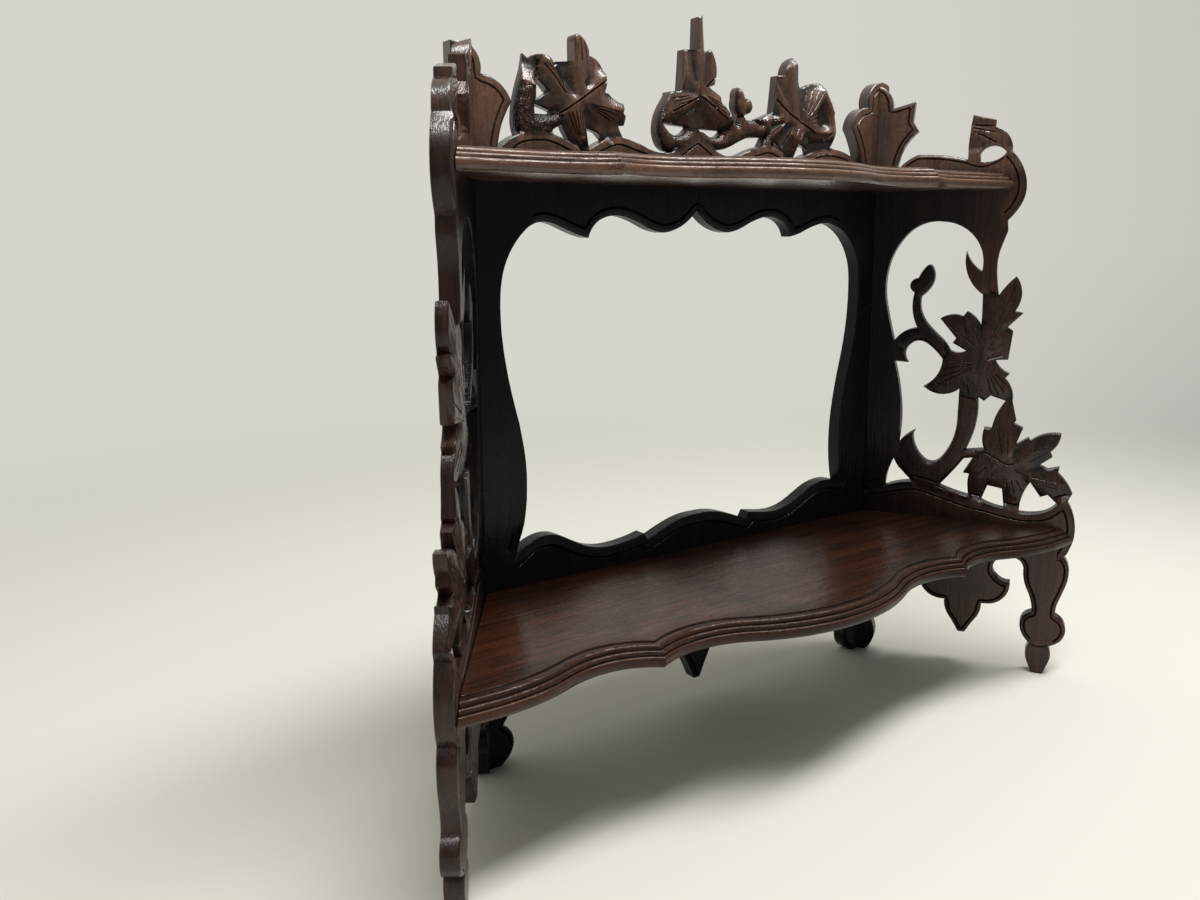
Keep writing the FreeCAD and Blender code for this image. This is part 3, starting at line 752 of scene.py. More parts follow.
def join_board(board, piece, front, back, rear):
    """Joins the two new faces to the sawn edge and leaves the marks on the corners of all faces."""
    corners, faces, depth, marks = front
    rear_corners, rear_faces, rear_place, rear_marks = back
    old = piece.data
    edge_spots = to_drawing(board, [vertex.co for vertex in old.vertices])
    moved = edge_spots[:, 2].copy()
    for at, spots, places in ((0.0, corners, depth), (rear, rear_corners, rear_place)):
        mine = np.nonzero(np.abs(edge_spots[:, 2] - at) < FACE_GAP)[0]
        gaps, found = Finder(spots).near(edge_spots[mine])
        fits = gaps < 0.01
        moved[mine[fits]] = places[found[fits]]
    places = np.concatenate([to_space(board, edge_spots, moved), to_space(board, corners, depth),
                             to_space(board, rear_corners, rear_place)])
    first = len(edge_spots)
    second = first + len(corners)
    _, across, facing = PLANES[board]
    turned = np.dot(np.cross((0, 0, 1), facing), across) < 0
    show_faces = faces[:, ::-1] if turned else faces
    plain_faces = rear_faces if turned else rear_faces[:, ::-1]
    all_faces = [tuple(face.vertices) for face in old.polygons]
    all_faces += [tuple(face) for face in np.concatenate([show_faces + first, plain_faces + second])]
    made = bpy.data.meshes.new(piece.name)
    made.from_pydata([tuple(spot) for spot in places], [], all_faces)
    beside = Finder(corners).near(edge_spots)[1]
    # The sawn edges take part of the painted light of the face beside them.
    edge_marks = {"faded": EDGE_LIGHT[board] * marks["faded"][beside],
                  "bark": EDGE_BARK * marks["bark"][beside]}
    owners = np.zeros(len(made.loops), int)
    made.loops.foreach_get("vertex_index", owners)
    for key in MARKS:
        values = np.concatenate([edge_marks.get(key, np.zeros(first)), marks[key],
                                 rear_marks.get(key, np.zeros(len(rear_corners)))])
        leave_mark(made, key, values[owners], "CORNER")
    piece.data = made
    bpy.data.meshes.remove(old)
    activate(piece)
    merge_points(4e-6)
    bpy.ops.object.shade_smooth_by_angle(angle=math.radians(32))
    dress(piece, board, UPRIGHT_WALNUT)


print("light on the sawn edges:", EDGE_LIGHT)

# %% [markdown]
# One function then carves any board from its drawing. It opens the copy, nets both faces, and lowers every
# point of the show face by the depth of the carving there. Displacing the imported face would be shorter, but
# it has no points where the cuts need them.

# %% Carve a board
# Outlines narrower than this are the bores of nails.
BORE_WIDTH = 5
# The net of the carved wood and that of the plain wood: the step, and the seed of its shaking.
FINE_NET = (0.9, 7)
COARSE_NET = (5.0, 8)
# How much the arrises and the rear of a board are worn, how much light is painted on the rear, and how far the
# rear arris is rounded.
ARRIS_WEAR = 0.3
REAR_WEAR = 0.2
REAR_PAINTED_LIGHT = 0.45
REAR_ROUND = 0.35


def wide_loops(loops):
    return [loop for loop in loops if np.ptp(loop[:, 0]) > BORE_WIDTH]


def carve(board, name, drawing):
    piece = copy_node(board, name)
    show, plain, rear = open_board(board, piece)
    sawn = wide_loops(show)
    edges = finder_along(sawn, True)
    cuts, guides, zones, bands, light = drawing(sawn, edges)
    fine = scattered(sawn, *FINE_NET)
    fine = fine[np.any([zone(fine) for zone, _, _ in zones], axis=0)]
    spots = np.concatenate([fine, scattered(sawn, *COARSE_NET)])
    corners, faces = net(show, cuts, guides, spots, (ARRIS, NET_STEP))
    away, _ = edges.near(corners)
    depth, dirt, bark = np.zeros((3, len(corners)))
    for zone, shape, roughness in zones:
        here = zone(corners)
        if here.any():
            depth[here], dirt[here] = shape(corners[here], away[here])
            bark[here] = roughness
    for zone, finder, gap in bands:
        here = zone(corners)
        if here.any():
            reach = finder.near(corners[here])[0]
            depth[here] -= np.where(reach < gap, 0.15 + 0.85 * (1 - np.minimum(reach / gap, 1)) ** 2, 0)
    furrow, furrow_dirt = furrows(cuts, corners)
    depth -= furrow
    depth -= (0.3 + 0.6 * np.clip(unevenness(corners, 0.5, 0.5, 9.0), 0, 1)) * rounded(away)
    depth += 0.05 * unevenness(corners, 0.3, 0.12, 4.0)
    bores = [loop for loop in show if np.ptp(loop[:, 0]) <= BORE_WIDTH]
    if bores:
        depth[finder_along(bores, True).near(corners)[0] < 1e-3] = 0
    proud = proudness(depth, faces)
    # Painted light and shade, as the drawing of the board gives them.
    faded = light(corners)
    # The hollows are painted darker, partly as dirt and partly as painted shade.
    dirt = np.maximum.reduce([dirt, furrow_dirt, np.clip(-4.5 * proud - 0.08, 0, 0.95)])
    # Wear shows only where light is painted.
    wear = np.maximum(ARRIS_WEAR * faded * rubbed(away), faded * np.clip(2.2 * proud - 0.12, 0, 0.6))
    marks = {"wear": wear, "dirt": dirt, "faded": faded, "bark": bark}
    rear_corners, rear_faces = net(plain, [], [], [], (ARRIS,))
    rear_away, _ = finder_along(wide_loops(plain), True).near(rear_corners)
    rear_place = rear + REAR_ROUND * rounded(rear_away)
    rear_marks = {"wear": REAR_WEAR * rubbed(rear_away), "faded": np.full(len(rear_corners), REAR_PAINTED_LIGHT)}
    join_board(board, piece, (corners, faces, depth, marks),
               (rear_corners, rear_faces, rear_place, rear_marks), rear)


print("net steps:", FINE_NET[0], "mm on the carving,", COARSE_NET[0], "mm elsewhere")

# %% [markdown]
# ## Leaves, stems and bark
# A carver draws the ridges and hollows of a leaf first and then works the wood between them. The leaves are
# made the same way: each has a few lines of known depth, and a surface is laid through them that is creased
# along the lines and even in between. Fine gouge lines and a few deep folds are cut on top. The stems are
# round, and the thick old ones are stippled to look like bark.

# %% Shapes of the vine
DEEPEST = 7.0
# The crest is carved deeper than the sides.
CREST_BOLDNESS = 1.6
SIDE_BOLDNESS = 0.9
# The depth and the half width of a fold and of a gouge line.
FOLD = (0.95, 0.8)
GOUGE = (0.45, 0.55)
GUIDE_STEP = 1.2
# The length over which a leaf comes up to the wood it stands on.
FOOT_EASE = 5.0


def relief(lines, boldness):
    """A surface through lines of points, each given as across, up and depth below the face."""
    knots = np.concatenate([spaced(line, 2.0) for line in lines])
    count = len(knots)
    table = np.ones((count + 1, count + 1))
    table[:count, :count] = np.linalg.norm(knots[:, None, :2] - knots[None, :, :2], axis=2)
    table[count, count] = 0
    weights = np.linalg.lstsq(table, np.append(knots[:, 2], 0), rcond=None)[0]

    def shape(points, away):
        reach = np.linalg.norm(points[:, None] - knots[None, :, :2], axis=2)
        depth = np.clip(boldness * (reach @ weights[:count] + weights[count]), 0, DEEPEST)
        fall = 0.5 * (1 - np.minimum(away, 1.5) / 1.5) ** 2
        ripple = 0.12 * unevenness(points, 0.4, 0.4, 1.0)
        # The deepest parts of a leaf are painted darker, as dirt and painted shade.
        return ripple - fall - depth, 0.6 * np.clip((depth - 4.5) / 2.5, 0, 1)

    return shape


def eased(shape, height):
    """A shape that comes up to the flat wood at its foot."""
    def softened(points, away):
        share = np.clip(height(points) / FOOT_EASE, 0, 1)
        depth, dirt = shape(points, away)
        return depth * share, dirt * share

    return softened


def round_stem(width, fall, lumps):
    """A stem that falls away to its edges, more or less lumpy."""
    def shape(points, away):
        share = np.minimum(away, width) / width
        drop = fall * (1 - np.sqrt(np.maximum(0, 1 - (1 - share) ** 2)))
        return lumps * (unevenness(points, 0.3, 0.3, 2.0) - 0.4) - drop, np.zeros(len(points))

    return shape


def leaf_lines(leaf):
    return leaf["ridges"] + leaf["hollows"]


def guide_lines(lines):
    return [spaced(line, GUIDE_STEP)[:, :2] for line in lines if len(line) > 1]


def leaf_cuts(leaf, boldness):
    """The folds of a leaf, and its fans of gouge lines."""
    made = [cut(line, FOLD[0] * boldness, FOLD[1]) for line in leaf["folds"]]
    for first, last, count in leaf["gouges"]:
        first, last = np.array(first, float), np.array(last, float)
        made += [cut(first + (last - first) * share, GOUGE[0] * boldness, GOUGE[1])
                 for share in np.linspace(0, 1, count)]
    return made


print("the relief of a leaf is at most", DEEPEST, "mm deep")

# %% [markdown]
# ## The crest
# Three broken vine leaves stand on the crest of the back, with a stump on the left and a vine and a bud in
# the middle. Each leaf has ridges and hollows with their depth, folds, and fans of gouge lines from a first
# to a last one. A sculpted mesh could be freer, but lines can be read and changed.

# %% Leaves of the crest
LEFT_LEAF = {
    "ridges": (
        ((-115, 426, 0.5), (-104, 410, 0), (-97, 405, 0.5)),
        ((-96, 440, 0.5), (-95, 424, 0), (-93, 408, 0.5)),
        ((-75, 420, 0.5), (-86, 412, 0.5)), ((-106, 396, 0), (-90, 406, 0), (-74, 416, 0.5)),
        ((-88, 404, 0), (-74, 401, 0), (-61, 402, 1)), ((-96, 399, 0), (-92, 383, 1)),
    ),
    "hollows": (
        ((-109, 424, 3), (-103, 417, 4.5), (-98, 408, 2)),
        ((-120, 426, 3), (-119, 414, 2.5), (-110, 406, 1)),
        ((-122, 401, 3), (-108, 398, 2.5)), ((-102, 441, 2), (-102, 428, 2.5)),
        ((-88, 440, 1.5), (-85, 430, 2), (-87, 414, 2)), ((-80, 431, 3.5), (-74, 424, 3.5)),
        ((-106, 395, 2), (-92, 379, 3)), ((-87, 400, 2), (-86, 386, 4)), ((-73, 410, 2.5), (-60, 405, 2.5)),
        ((-85, 400, 1), (-72, 394, 2), (-60, 394, 4)), ((-80, 386, 3), (-63, 385, 3.5)),
    ),
    "folds": (((-107, 397), (-94, 405), (-74, 418)),),
    "gouges": (
        (((-117, 424), (-104, 408)), ((-112, 424), (-101, 409)), 3),
        (((-86, 403), (-64, 400)), ((-85, 401), (-70, 394)), 4),
        (((-102, 397), (-95, 385)), ((-92, 399), (-90, 384)), 5),
        (((-93, 440), (-92, 428)), ((-90, 439), (-88, 430)), 2),
    ),
}
CENTRE_LEAF = {
    "ridges": (
        ((-4, 461, 0.5), (-3, 440, 0), (-2, 419, 0.5)), ((-18, 437, 0.5), (-14, 427, 0), (-5, 417, 0.5)),
        ((9, 440, 1.5), (10, 430, 1), (4, 422, 1)), ((-4, 412, 0), (-16, 407, 0), (-28, 400, 0.5)),
        ((0, 412, 0), (10, 406, 0), (20, 400, 1)), ((9, 413, 0.5), (20, 407, 0.5), (27, 400, 1)),
    ),
    "hollows": (
        ((-9, 461, 1.5), (-11, 443, 1.5)), ((1, 461, 1.5), (2, 443, 1.5)), ((-9, 439, 1.5), (-5, 423, 1)),
        ((4, 439, 1.5), (1, 423, 1)), ((-21, 440, 2), (-22, 421, 2)), ((-19, 441, 2), (-6, 441, 1.5)),
        ((13, 424, 2), (6, 420, 1.5)), ((-2, 416, 1), (-2, 398, 3.5)), ((-22, 418, 1.5), (-7, 416, 1)),
        ((-32, 412, 2), (-32, 400, 2), (-18, 397, 2.5), (-4, 398, 3)), ((18, 412, 2), (29, 397, 2.5)),
        ((3, 396, 3), (20, 395, 3)), ((-37, 406, 3), (-41, 396, 3.5)),
    ),
    "folds": (((13, 427), (4, 420)), ((-3, 413), (-24, 403)), ((0, 413), (21, 401))),
    "gouges": (
        (((-24, 411), (-12, 413)), ((-20, 407), (-8, 411)), 3),
        (((-14, 401), (-9, 406)), ((-10, 402), (-6, 406)), 3),
        (((4, 414), (20, 409)), ((8, 410), (19, 402)), 4),
    ),
}
RIGHT_LEAF = {
    "ridges": (
        ((63, 430, 1), (68, 421, 0.5), (77, 409, 0.5)), ((78, 439, 0.5), (80, 424, 0), (86, 405, 0.5)),
        ((111, 425, 0.5), (104, 413, 0), (94, 406, 0.5)), ((114, 426, 1.5), (122, 412, 1), (122, 399, 1.5)),
        ((103, 396, 1), (120, 397, 1)), ((76, 404, 0.5), (56, 401, 1)), ((75, 402, 0.5), (60, 390, 1.5)),
        ((79, 402, 0.5), (99, 396, 1)), ((80, 394, 0.5), (90, 390, 1)),
    ),
    "hollows": (
        ((59, 431, 2), (57, 408, 2)), ((66, 430, 2), (74, 417, 1)), ((69, 440, 2.5), (84, 444, 3.5)),
        ((85, 441, 1.5), (89, 418, 2), (89, 404, 1.5)), ((92, 425, 3), (110, 429, 3)),
        ((112, 413, 4), (114, 403, 5.5)), ((118, 422, 3), (127, 401, 3.5)), ((101, 390, 4), (121, 391, 4.5)),
        ((99, 394, 2.5), (87, 382, 3)), ((76, 399, 3), (71, 390, 3), (71, 380, 3)),
        ((56, 407, 2.5), (67, 406, 2)), ((72, 401, 2), (56, 397, 3)), ((52, 387, 3), (66, 387, 3.5)),
    ),
    "folds": (((66, 416), (78, 407), (90, 402), (103, 396)),),
    "gouges": (
        (((96, 425), (92, 412)), ((110, 424), (97, 408)), 4),
        (((99, 407), (108, 410)), ((101, 402), (111, 405)), 3),
        (((82, 400), (74, 386)), ((95, 394), (89, 384)), 4),
        (((72, 404), (58, 402)), ((70, 399), (61, 393)), 2),
    ),
}
# Each leaf with the stretch of the crest that it takes up.
CREST_LEAVES = (((-140, -50), LEFT_LEAF), ((-50, 49), CENTRE_LEAF), ((49, 140), RIGHT_LEAF))
print("lines of the crest leaves:", [len(leaf_lines(leaf)) for _, leaf in CREST_LEAVES])

# %% [markdown]
# The leaves stand on a row of scallops, and the upper border line follows them. The stump, the vine and
# the bud are places on the drawing with an outline of their own.

# %% Scallops, stump, vine and bud
# The scallops from the left horn to the right one, each a smooth curve between two points.
SCALLOPS = (
    ((-140.2, 401), (-145.8, 390.5), (-150, 373)),
    ((-150, 373), (-136.9, 383), (-119.2, 385.5), (-106.1, 382.5), (-90, 375.5)),
    ((-90, 375.5), (-78, 382), (-66, 385.3), (-52, 382.3), (-31, 377)),
    ((-31, 377), (-20, 380), (-12, 385), (-4, 388.5), (4, 385), (12, 380), (23, 377)),
    ((23, 377), (44, 382.3), (58, 385.3), (70, 382), (82, 375.5)),
    ((82, 375.5), (99.9, 382.5), (114.8, 385.5), (135.1, 383), (150, 373)),
    ((150, 373), (145.2, 390.5), (138.8, 401)),
)
SCALLOP_LINE = np.concatenate([flowing(run) for run in SCALLOPS])
CREST_SPAN = SCALLOP_LINE[np.abs(SCALLOP_LINE[:, 0]) < 139]
# The worn top of the stump is shaped like a leaf, by lines with a depth.
STUMP_TOP = (((-130, 428, 5), (-121, 424, 4.5)), ((-135, 416, 2.5), (-132, 414, 1), (-123, 411, 0.5)),
             ((-121, 412, 2.5),))


def above_scallops(points):
    order = np.argsort(CREST_SPAN[:, 0])
    level = np.interp(points[:, 0], CREST_SPAN[order, 0], CREST_SPAN[order, 1])
    return (points[:, 1] > level + 0.3) & (np.abs(points[:, 0]) < 138)


stump_top = within(((-145, 413), (-145, 432), (-119.7, 430), (-119.7, 413), (-123.5, 411), (-132.5, 414)))
stump = within(((-145, 378), (-145, 413), (-132.5, 414), (-123.5, 411), (-119.7, 413), (-123, 403),
                (-123, 397), (-108, 397.5), (-106, 392), (-111, 378)), above_scallops)
vine = within(((-40, 376), (-40, 400), (-31, 404), (-20, 392), (20, 391), (27, 397), (34, 403), (60, 402),
               (60, 376)), above_scallops)
bud = within(((21, 404), (21, 428), (46, 428), (46, 404)))


def crest_leaf(span):
    def zone(points):
        here = above_scallops(points) & (points[:, 0] > span[0]) & (points[:, 0] <= span[1])
        return here & ~stump(points) & ~stump_top(points) & ~vine(points)

    return zone


print("the scallops reach up to", SCALLOP_LINE[:, 1].max(), "mm")

# %% [markdown]
# ## The back
# The back is framed by a border line inside its scallops, horns, arches, lower rail and feet. The old wood
# has a crack in the lower rail and another in the middle of the arches. Light is painted on the crest, and
# the board between the shelves is painted in shade, nearly black.

# %% Drawing of the back
EDGE_GAP = 4.8
RAIL_GAP = 6.6
FOOT_GAP = 3.0
# The strip outside a border line is rounded up to this distance from the line.
BORDER_LIP = 0.6
# The stems: the width over which each is round, how far it falls, and how lumpy it is.
STUMP_STEM = (7.5, 5.0, 0.4)
VINE_STEM = (5.5, 4.0, 0.3)
BUD_STEM = (6.0, 4.5, 0.2)
RAIL_CRACK = ((-68.7, 114), (-68.2, 121), (-69, 131))
ARCH_CRACK = ((-4, 343), (-3.6, 351))


# Painted light on the crest above the upper shelf, and painted shade on the board below it.
def back_light(points):
    return 0.04 + 0.96 * np.clip((points[:, 1] - 358) / 36, 0, 1)


def back_drawing(loops, edges):
    window, outline = sorted(loops, key=lambda loop: np.ptp(loop[:, 0]))[-2:]
    horns = picked(outline, (138, FAR), (374, FAR))
    edge_lines = [SCALLOP_LINE] + horns + picked(window, (-1, 126), (318, FAR))
    rail = picked(window, (-1, 143), (-1, 146))
    feet = picked(outline, (-1, 156), (-1, 92))
    cuts = []
    for lines, gap in ((edge_lines, EDGE_GAP), (feet, FOOT_GAP), (rail, RAIL_GAP)):
        cuts += border_cuts(lines, edges, loops, gap)
    cuts = [one for one in cuts if not above_scallops(one["line"]).any()]
    guides = guide_lines(STUMP_TOP)
    for _, leaf in CREST_LEAVES:
        cuts += leaf_cuts(leaf, CREST_BOLDNESS)
        guides += guide_lines(leaf_lines(leaf))
    cuts += [cut(RAIL_CRACK, 1.6, 0.5), cut(ARCH_CRACK, 1.4, 0.3)]
    zones = [(crest_leaf(span), relief(leaf_lines(leaf), CREST_BOLDNESS), 0) for span, leaf in CREST_LEAVES]
    zones += [(stump_top, relief(STUMP_TOP, CREST_BOLDNESS), 0), (stump, round_stem(*STUMP_STEM), 1),
              (vine, round_stem(*VINE_STEM), 0.7), (bud, round_stem(*BUD_STEM), 0.2)]
    bands = [(lambda points: ~above_scallops(points) & (points[:, 1] > 300), finder_along(edge_lines),
              EDGE_GAP - BORDER_LIP),
             (lambda points: (points[:, 1] > 100) & (points[:, 1] < 150), finder_along(rail),
              RAIL_GAP - BORDER_LIP),
             (lambda points: points[:, 1] < 100, finder_along(feet), FOOT_GAP - BORDER_LIP)]
    return cuts, guides, zones, bands, back_light


carve("back_panel", "carved_back", back_drawing)

# %% [markdown]
# ## The sides
# Both sides come from one pattern: a leg and a scalloped apron below, a rail with a border line, two
# large vine leaves on a curling stem, and an upper rail with a horn and the rest of a leaf. The leaves are
# given by the same kinds of lines as those of the crest.

# %% Leaves of the sides
UPPER_LEAF = {
    "ridges": (
        ((83, 236, 0), (82, 246, 0), (87, 264, 0.5), (83, 280, 1)),
        ((80, 242, 0.5), (71, 260, 1), (69, 268, 3)),
        ((52, 264, 4), (68, 253, 1.5), (75, 244, 1)), ((102, 292, 4), (97, 275, 1.5), (88, 253, 0.5)),
        ((106, 268, 4), (95, 262, 1)), ((99, 253, 3.5), (88, 241, 0.5)), ((98, 236, 3.5), (88, 236, 1)),
        ((84, 231, 0), (84, 222, 0.5)), ((100, 224, 4), (87, 229, 0.5)), ((101, 210, 4), (88, 222, 0.5)),
        ((84, 204, 4), (84, 214, 1.5)), ((42, 213, 4.5), (63, 224, 1), (77, 231, 0)),
        ((54, 230, 3), (75, 234, 0.5)),
    ),
    "hollows": (
        ((68, 266, 3.5), (69, 256, 2.5)), ((61, 250, 3), (69, 243, 2)), ((79, 260, 3), (80, 249, 1)),
        ((91, 281, 2.5), (90, 270, 1.5)), ((104, 282, 4), (102, 271, 3.5)), ((98, 258, 3.5), (92, 250, 1)),
        ((98, 243, 3), (86, 237, 1)), ((91, 234, 3), (88, 233, 1)), ((98, 221, 3.5), (91, 222, 1.5)),
        ((88, 208, 3), (87, 215, 1.5)), ((79, 207, 3), (80, 216, 1)), ((51, 208, 4), (66, 214, 2.5)),
    ),
    "folds": (),
    "gouges": (
        (((83, 240), (93, 268), (101, 288)), ((85, 243), (96, 266), (103, 281)), 2),
        (((88, 239), (99, 246)), ((85, 235), (98, 239)), 2),
        (((76, 233), (56, 233)), ((74, 228), (51, 215)), 4),
        (((86, 221), (90, 207)), ((91, 225), (101, 215)), 4),
        (((82, 242), (72, 261)), ((78, 243), (56, 260)), 2),
    ),
}
LOWER_LEAF = {
    "ridges": (
        ((104, 157, 0), (102, 150, 0)), ((101, 203, 3.5), (101, 184, 1), (103, 166, 0)),
        ((111, 183, 4), (105, 166, 0.5)), ((86, 182, 2), (96, 166, 0.5)),
        ((138, 181, 4.5), (118, 168, 1), (108, 160, 0)), ((133, 165, 4), (112, 157, 0.5)),
        ((147, 138, 4.5), (137, 146, 1.5), (119, 150, 0.5), (107, 156, 0)), ((108, 127, 3), (105, 149, 0)),
        ((79, 134, 3.5), (82, 145, 2), (100, 156, 0.5)), ((80, 162, 2.5), (96, 158, 0.5)),
        ((137, 156, 4), (122, 152, 1)),
    ),
    "hollows": (
        ((94, 189, 3), (95, 172, 1.5)), ((107, 191, 3.5), (105, 182, 2)), ((108, 170, 3), (107, 164, 1.5)),
        ((117, 176, 3.5), (114, 169, 1.5)), ((137, 175, 4), (132, 169, 3)), ((125, 157, 3), (117, 154, 1.5)),
        ((127, 135, 4), (119, 147, 1)), ((137, 135, 4), (131, 141, 2)), ((118, 145, 3), (113, 149, 1)),
        ((102, 135, 3), (102, 141, 1.5)), ((115, 136, 3), (112, 143, 1)), ((90, 140, 3), (92, 147, 1)),
        ((73, 149, 4), (80, 152, 2)),
    ),
    "folds": (((87, 166), (95, 162), (103, 158), (107, 159)),),
    "gouges": (
        (((108, 155), (119, 150), (137, 147)), ((110, 153), (121, 147), (138, 142)), 3),
        (((103, 146), (103, 135)), ((110, 147), (114, 139)), 3),
        (((118, 161), (130, 169)), ((113, 164), (132, 175)), 2),
        (((99, 166), (95, 183)), ((103, 166), (102, 186)), 2),
        (((95, 153), (90, 144)), ((88, 154), (82, 148)), 2),
    ),
}
CURL_LEAF = {
    "ridges": (((67, 407, 1), (83, 405, 1)), ((67, 400, 0.5), (76, 396, 0), (89, 390, 1.5))),
    "hollows": (((67, 403, 1.5), (76, 401, 1.5), (86, 397, 2)), ((69, 392, 1.5), (78, 391, 1.5))),
    "folds": (((68, 402), (82, 401)), ((67, 400), (81, 397)), ((68, 397), (75, 394), (82, 390))),
    "gouges": (),
}
SIDE_LEAVES = (UPPER_LEAF, LOWER_LEAF, CURL_LEAF)
print("lines of the side leaves:", [len(leaf_lines(leaf)) for leaf in SIDE_LEAVES])

# %% [markdown]
# The lower leaf and the stem grow out of the rail, so the top of the rail is a line of its own. Light is
# painted at the front and above the upper shelf, and shade in the corner beside the back. The hearts of the
# leaves are lighter, and one spot beside the lower leaf is rubbed off.

# %% Places on a side
RAIL_TOP = ((0, 131), (16, 134.9), (38, 138.6), (58.5, 133.8), (77.5, 128.5), (90, 126.5), (104, 123.5),
            (117, 122), (130, 124), (139.5, 131.2), (145.5, 133.5))
RAIL_LINE = flowing(RAIL_TOP)
# The border line goes on under the foot of the curled leaf and the opening beside it.
CURL_BORDER = ((63, 376), (68, 374), (75, 373), (82, 375), (87, 378), (89, 380))
CURL_FOOT = 382
LEAF_HEARTS = ((82, 240), (103, 152))
HEART_SIZE = 18.0
RUBBED_SPOT = (105.5, 163)
RUBBED_SIZE = (1.5, 4.5)


def over_rail(points):
    return points[:, 1] - np.interp(points[:, 0], RAIL_LINE[:, 0], RAIL_LINE[:, 1])


def over_curl_foot(points):
    return points[:, 1] - CURL_FOOT


def above_rail(points):
    return over_rail(points) > 0.2


upper = within(((40, 206), (56, 238), (50, 266), (70, 272), (80, 262), (80, 284), (90, 284), (100, 300),
                (110, 296), (108, 224), (103, 206), (86, 203), (66, 208)))
lower = within(((71, 150), (80, 162), (86, 168), (84, 186), (98, 206), (108, 206), (112, 186), (142, 186),
                (142, 160), (152, 138), (140, 130), (112, 118), (85, 124), (74, 138)), above_rail)
stems = within(((25.5, 140), (25.5, 305), (50, 305), (66, 238), (82, 206), (82, 150), (74, 134), (54, 136),
                (38, 140)), above_rail, lambda points: ~upper(points) & ~lower(points))
curl = within(((63, 380), (72, 383), (96, 380), (96, 412), (63, 412)))


def side_light(points):
    """Painted light at the front and above the upper shelf, painted shade in the corner beside the back,
    lighter leaf hearts, and a rubbed spot.
    """
    front = np.clip((points[:, 0] - 12) / 80, 0, 1)
    top = np.clip((points[:, 1] - 366) / 8, 0, 1)
    hearts = sum(np.exp(-np.sum((points - heart) ** 2, axis=1) / HEART_SIZE ** 2) for heart in LEAF_HEARTS)
    rub = np.exp(-np.sum(((points - RUBBED_SPOT) / RUBBED_SIZE) ** 2, axis=1))
    return 0.05 + np.maximum(0.25 * front + 0.14 * hearts + 0.7 * rub, 0.8 * top)


print("the rail reaches up to", RAIL_LINE[:, 1].max(), "mm")

# %% [markdown]
# One drawing serves both sides, because the left side is taken as the mirror image of the right one and the
# drawing is measured from the rear corner of each. Mirroring a finished side would do the same, but then
# its faces would have to be turned over.

# %% Drawing of a side
SIDE_GAP = 5.2
SIDE_STEM = (4.2, 3.0, 0.08)
# A line cut round the front foot.
FOOT_RING = ((126.9, 23.2), (129, 21.6), (132.6, 21), (136.2, 21.4), (138.4, 22.8))


def side_drawing(loops, edges):
    outline = max(loops, key=lambda loop: np.ptp(loop[:, 1]))
    rail_end = picked(outline, (100, FAR), (92, 134))
    edge_lines = [RAIL_LINE] + rail_end + picked(outline, (85, FAR), (337, 384))
    thin_lines = picked(outline, (1, FAR), (24, 92)) + picked(outline, (1, 64), (370, FAR))
    cuts = border_cuts(edge_lines, edges, loops, SIDE_GAP) + border_cuts(thin_lines, edges, loops, FOOT_GAP)
    cuts += [cut(FOOT_RING, 1.0, 0.6), cut(flowing(CURL_BORDER), BORDER_DEPTH, BORDER_HALF)]
    guides = []
    for leaf in SIDE_LEAVES:
        cuts += leaf_cuts(leaf, SIDE_BOLDNESS)
        guides += guide_lines(leaf_lines(leaf))
    upper_shape, lower_shape, curl_shape = (relief(leaf_lines(leaf), SIDE_BOLDNESS) for leaf in SIDE_LEAVES)
    zones = [(upper, upper_shape, 0), (lower, eased(lower_shape, over_rail), 0),
             (curl, eased(curl_shape, over_curl_foot), 0), (stems, round_stem(*SIDE_STEM), 0.1)]
    wide = (finder_along(edge_lines), SIDE_GAP - BORDER_LIP)
    narrow = (finder_along(thin_lines), FOOT_GAP - BORDER_LIP)
    bands = [(lambda points: ~above_rail(points) & (points[:, 1] > 95), *wide),
             (lambda points: (points[:, 1] > 336) & (points[:, 0] > 66) & ~curl(points), *wide),
             (lambda points: (points[:, 1] > 366) & (points[:, 0] < 64), *narrow),
             (lambda points: (points[:, 1] < 92) & (points[:, 1] > 22), *narrow)]
    return cuts, guides, zones, bands, side_light


carve("right_side_panel", "carved_right_side", side_drawing)
carve("left_side_panel", "carved_left_side", side_drawing)

# %% [markdown]
# ## The shelves
# Each shelf is a board with a serpentine front, moulded with two beads over a rounded fascia. It could be
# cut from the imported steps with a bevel, but the beads of the real one are round all over. Here a flat grid
# gets the serpentine as its front row, and that row is extruded along the moulding's profile, down to the
# underside and back to the rear. The serpentine is a row of arcs that meet without a corner, or in a cusp.

# %% Front line of the shelves
# Points of the front's right half: distance from the middle, and back from the foremost line.
MIDDLE_SWELL = (0, 0)
TROUGH = (97, 24)
TIP = (126, 17.2)
OUTER_TROUGH = (157, 28.5)
LOWER_SWELL = (222, 16)
LOWER_END = (246.96, 17.3)
UPPER_END = (217.5, 25.2)
# Where one arc turns into the next, as a share of the way from a swell to a trough.
TURN = 0.65


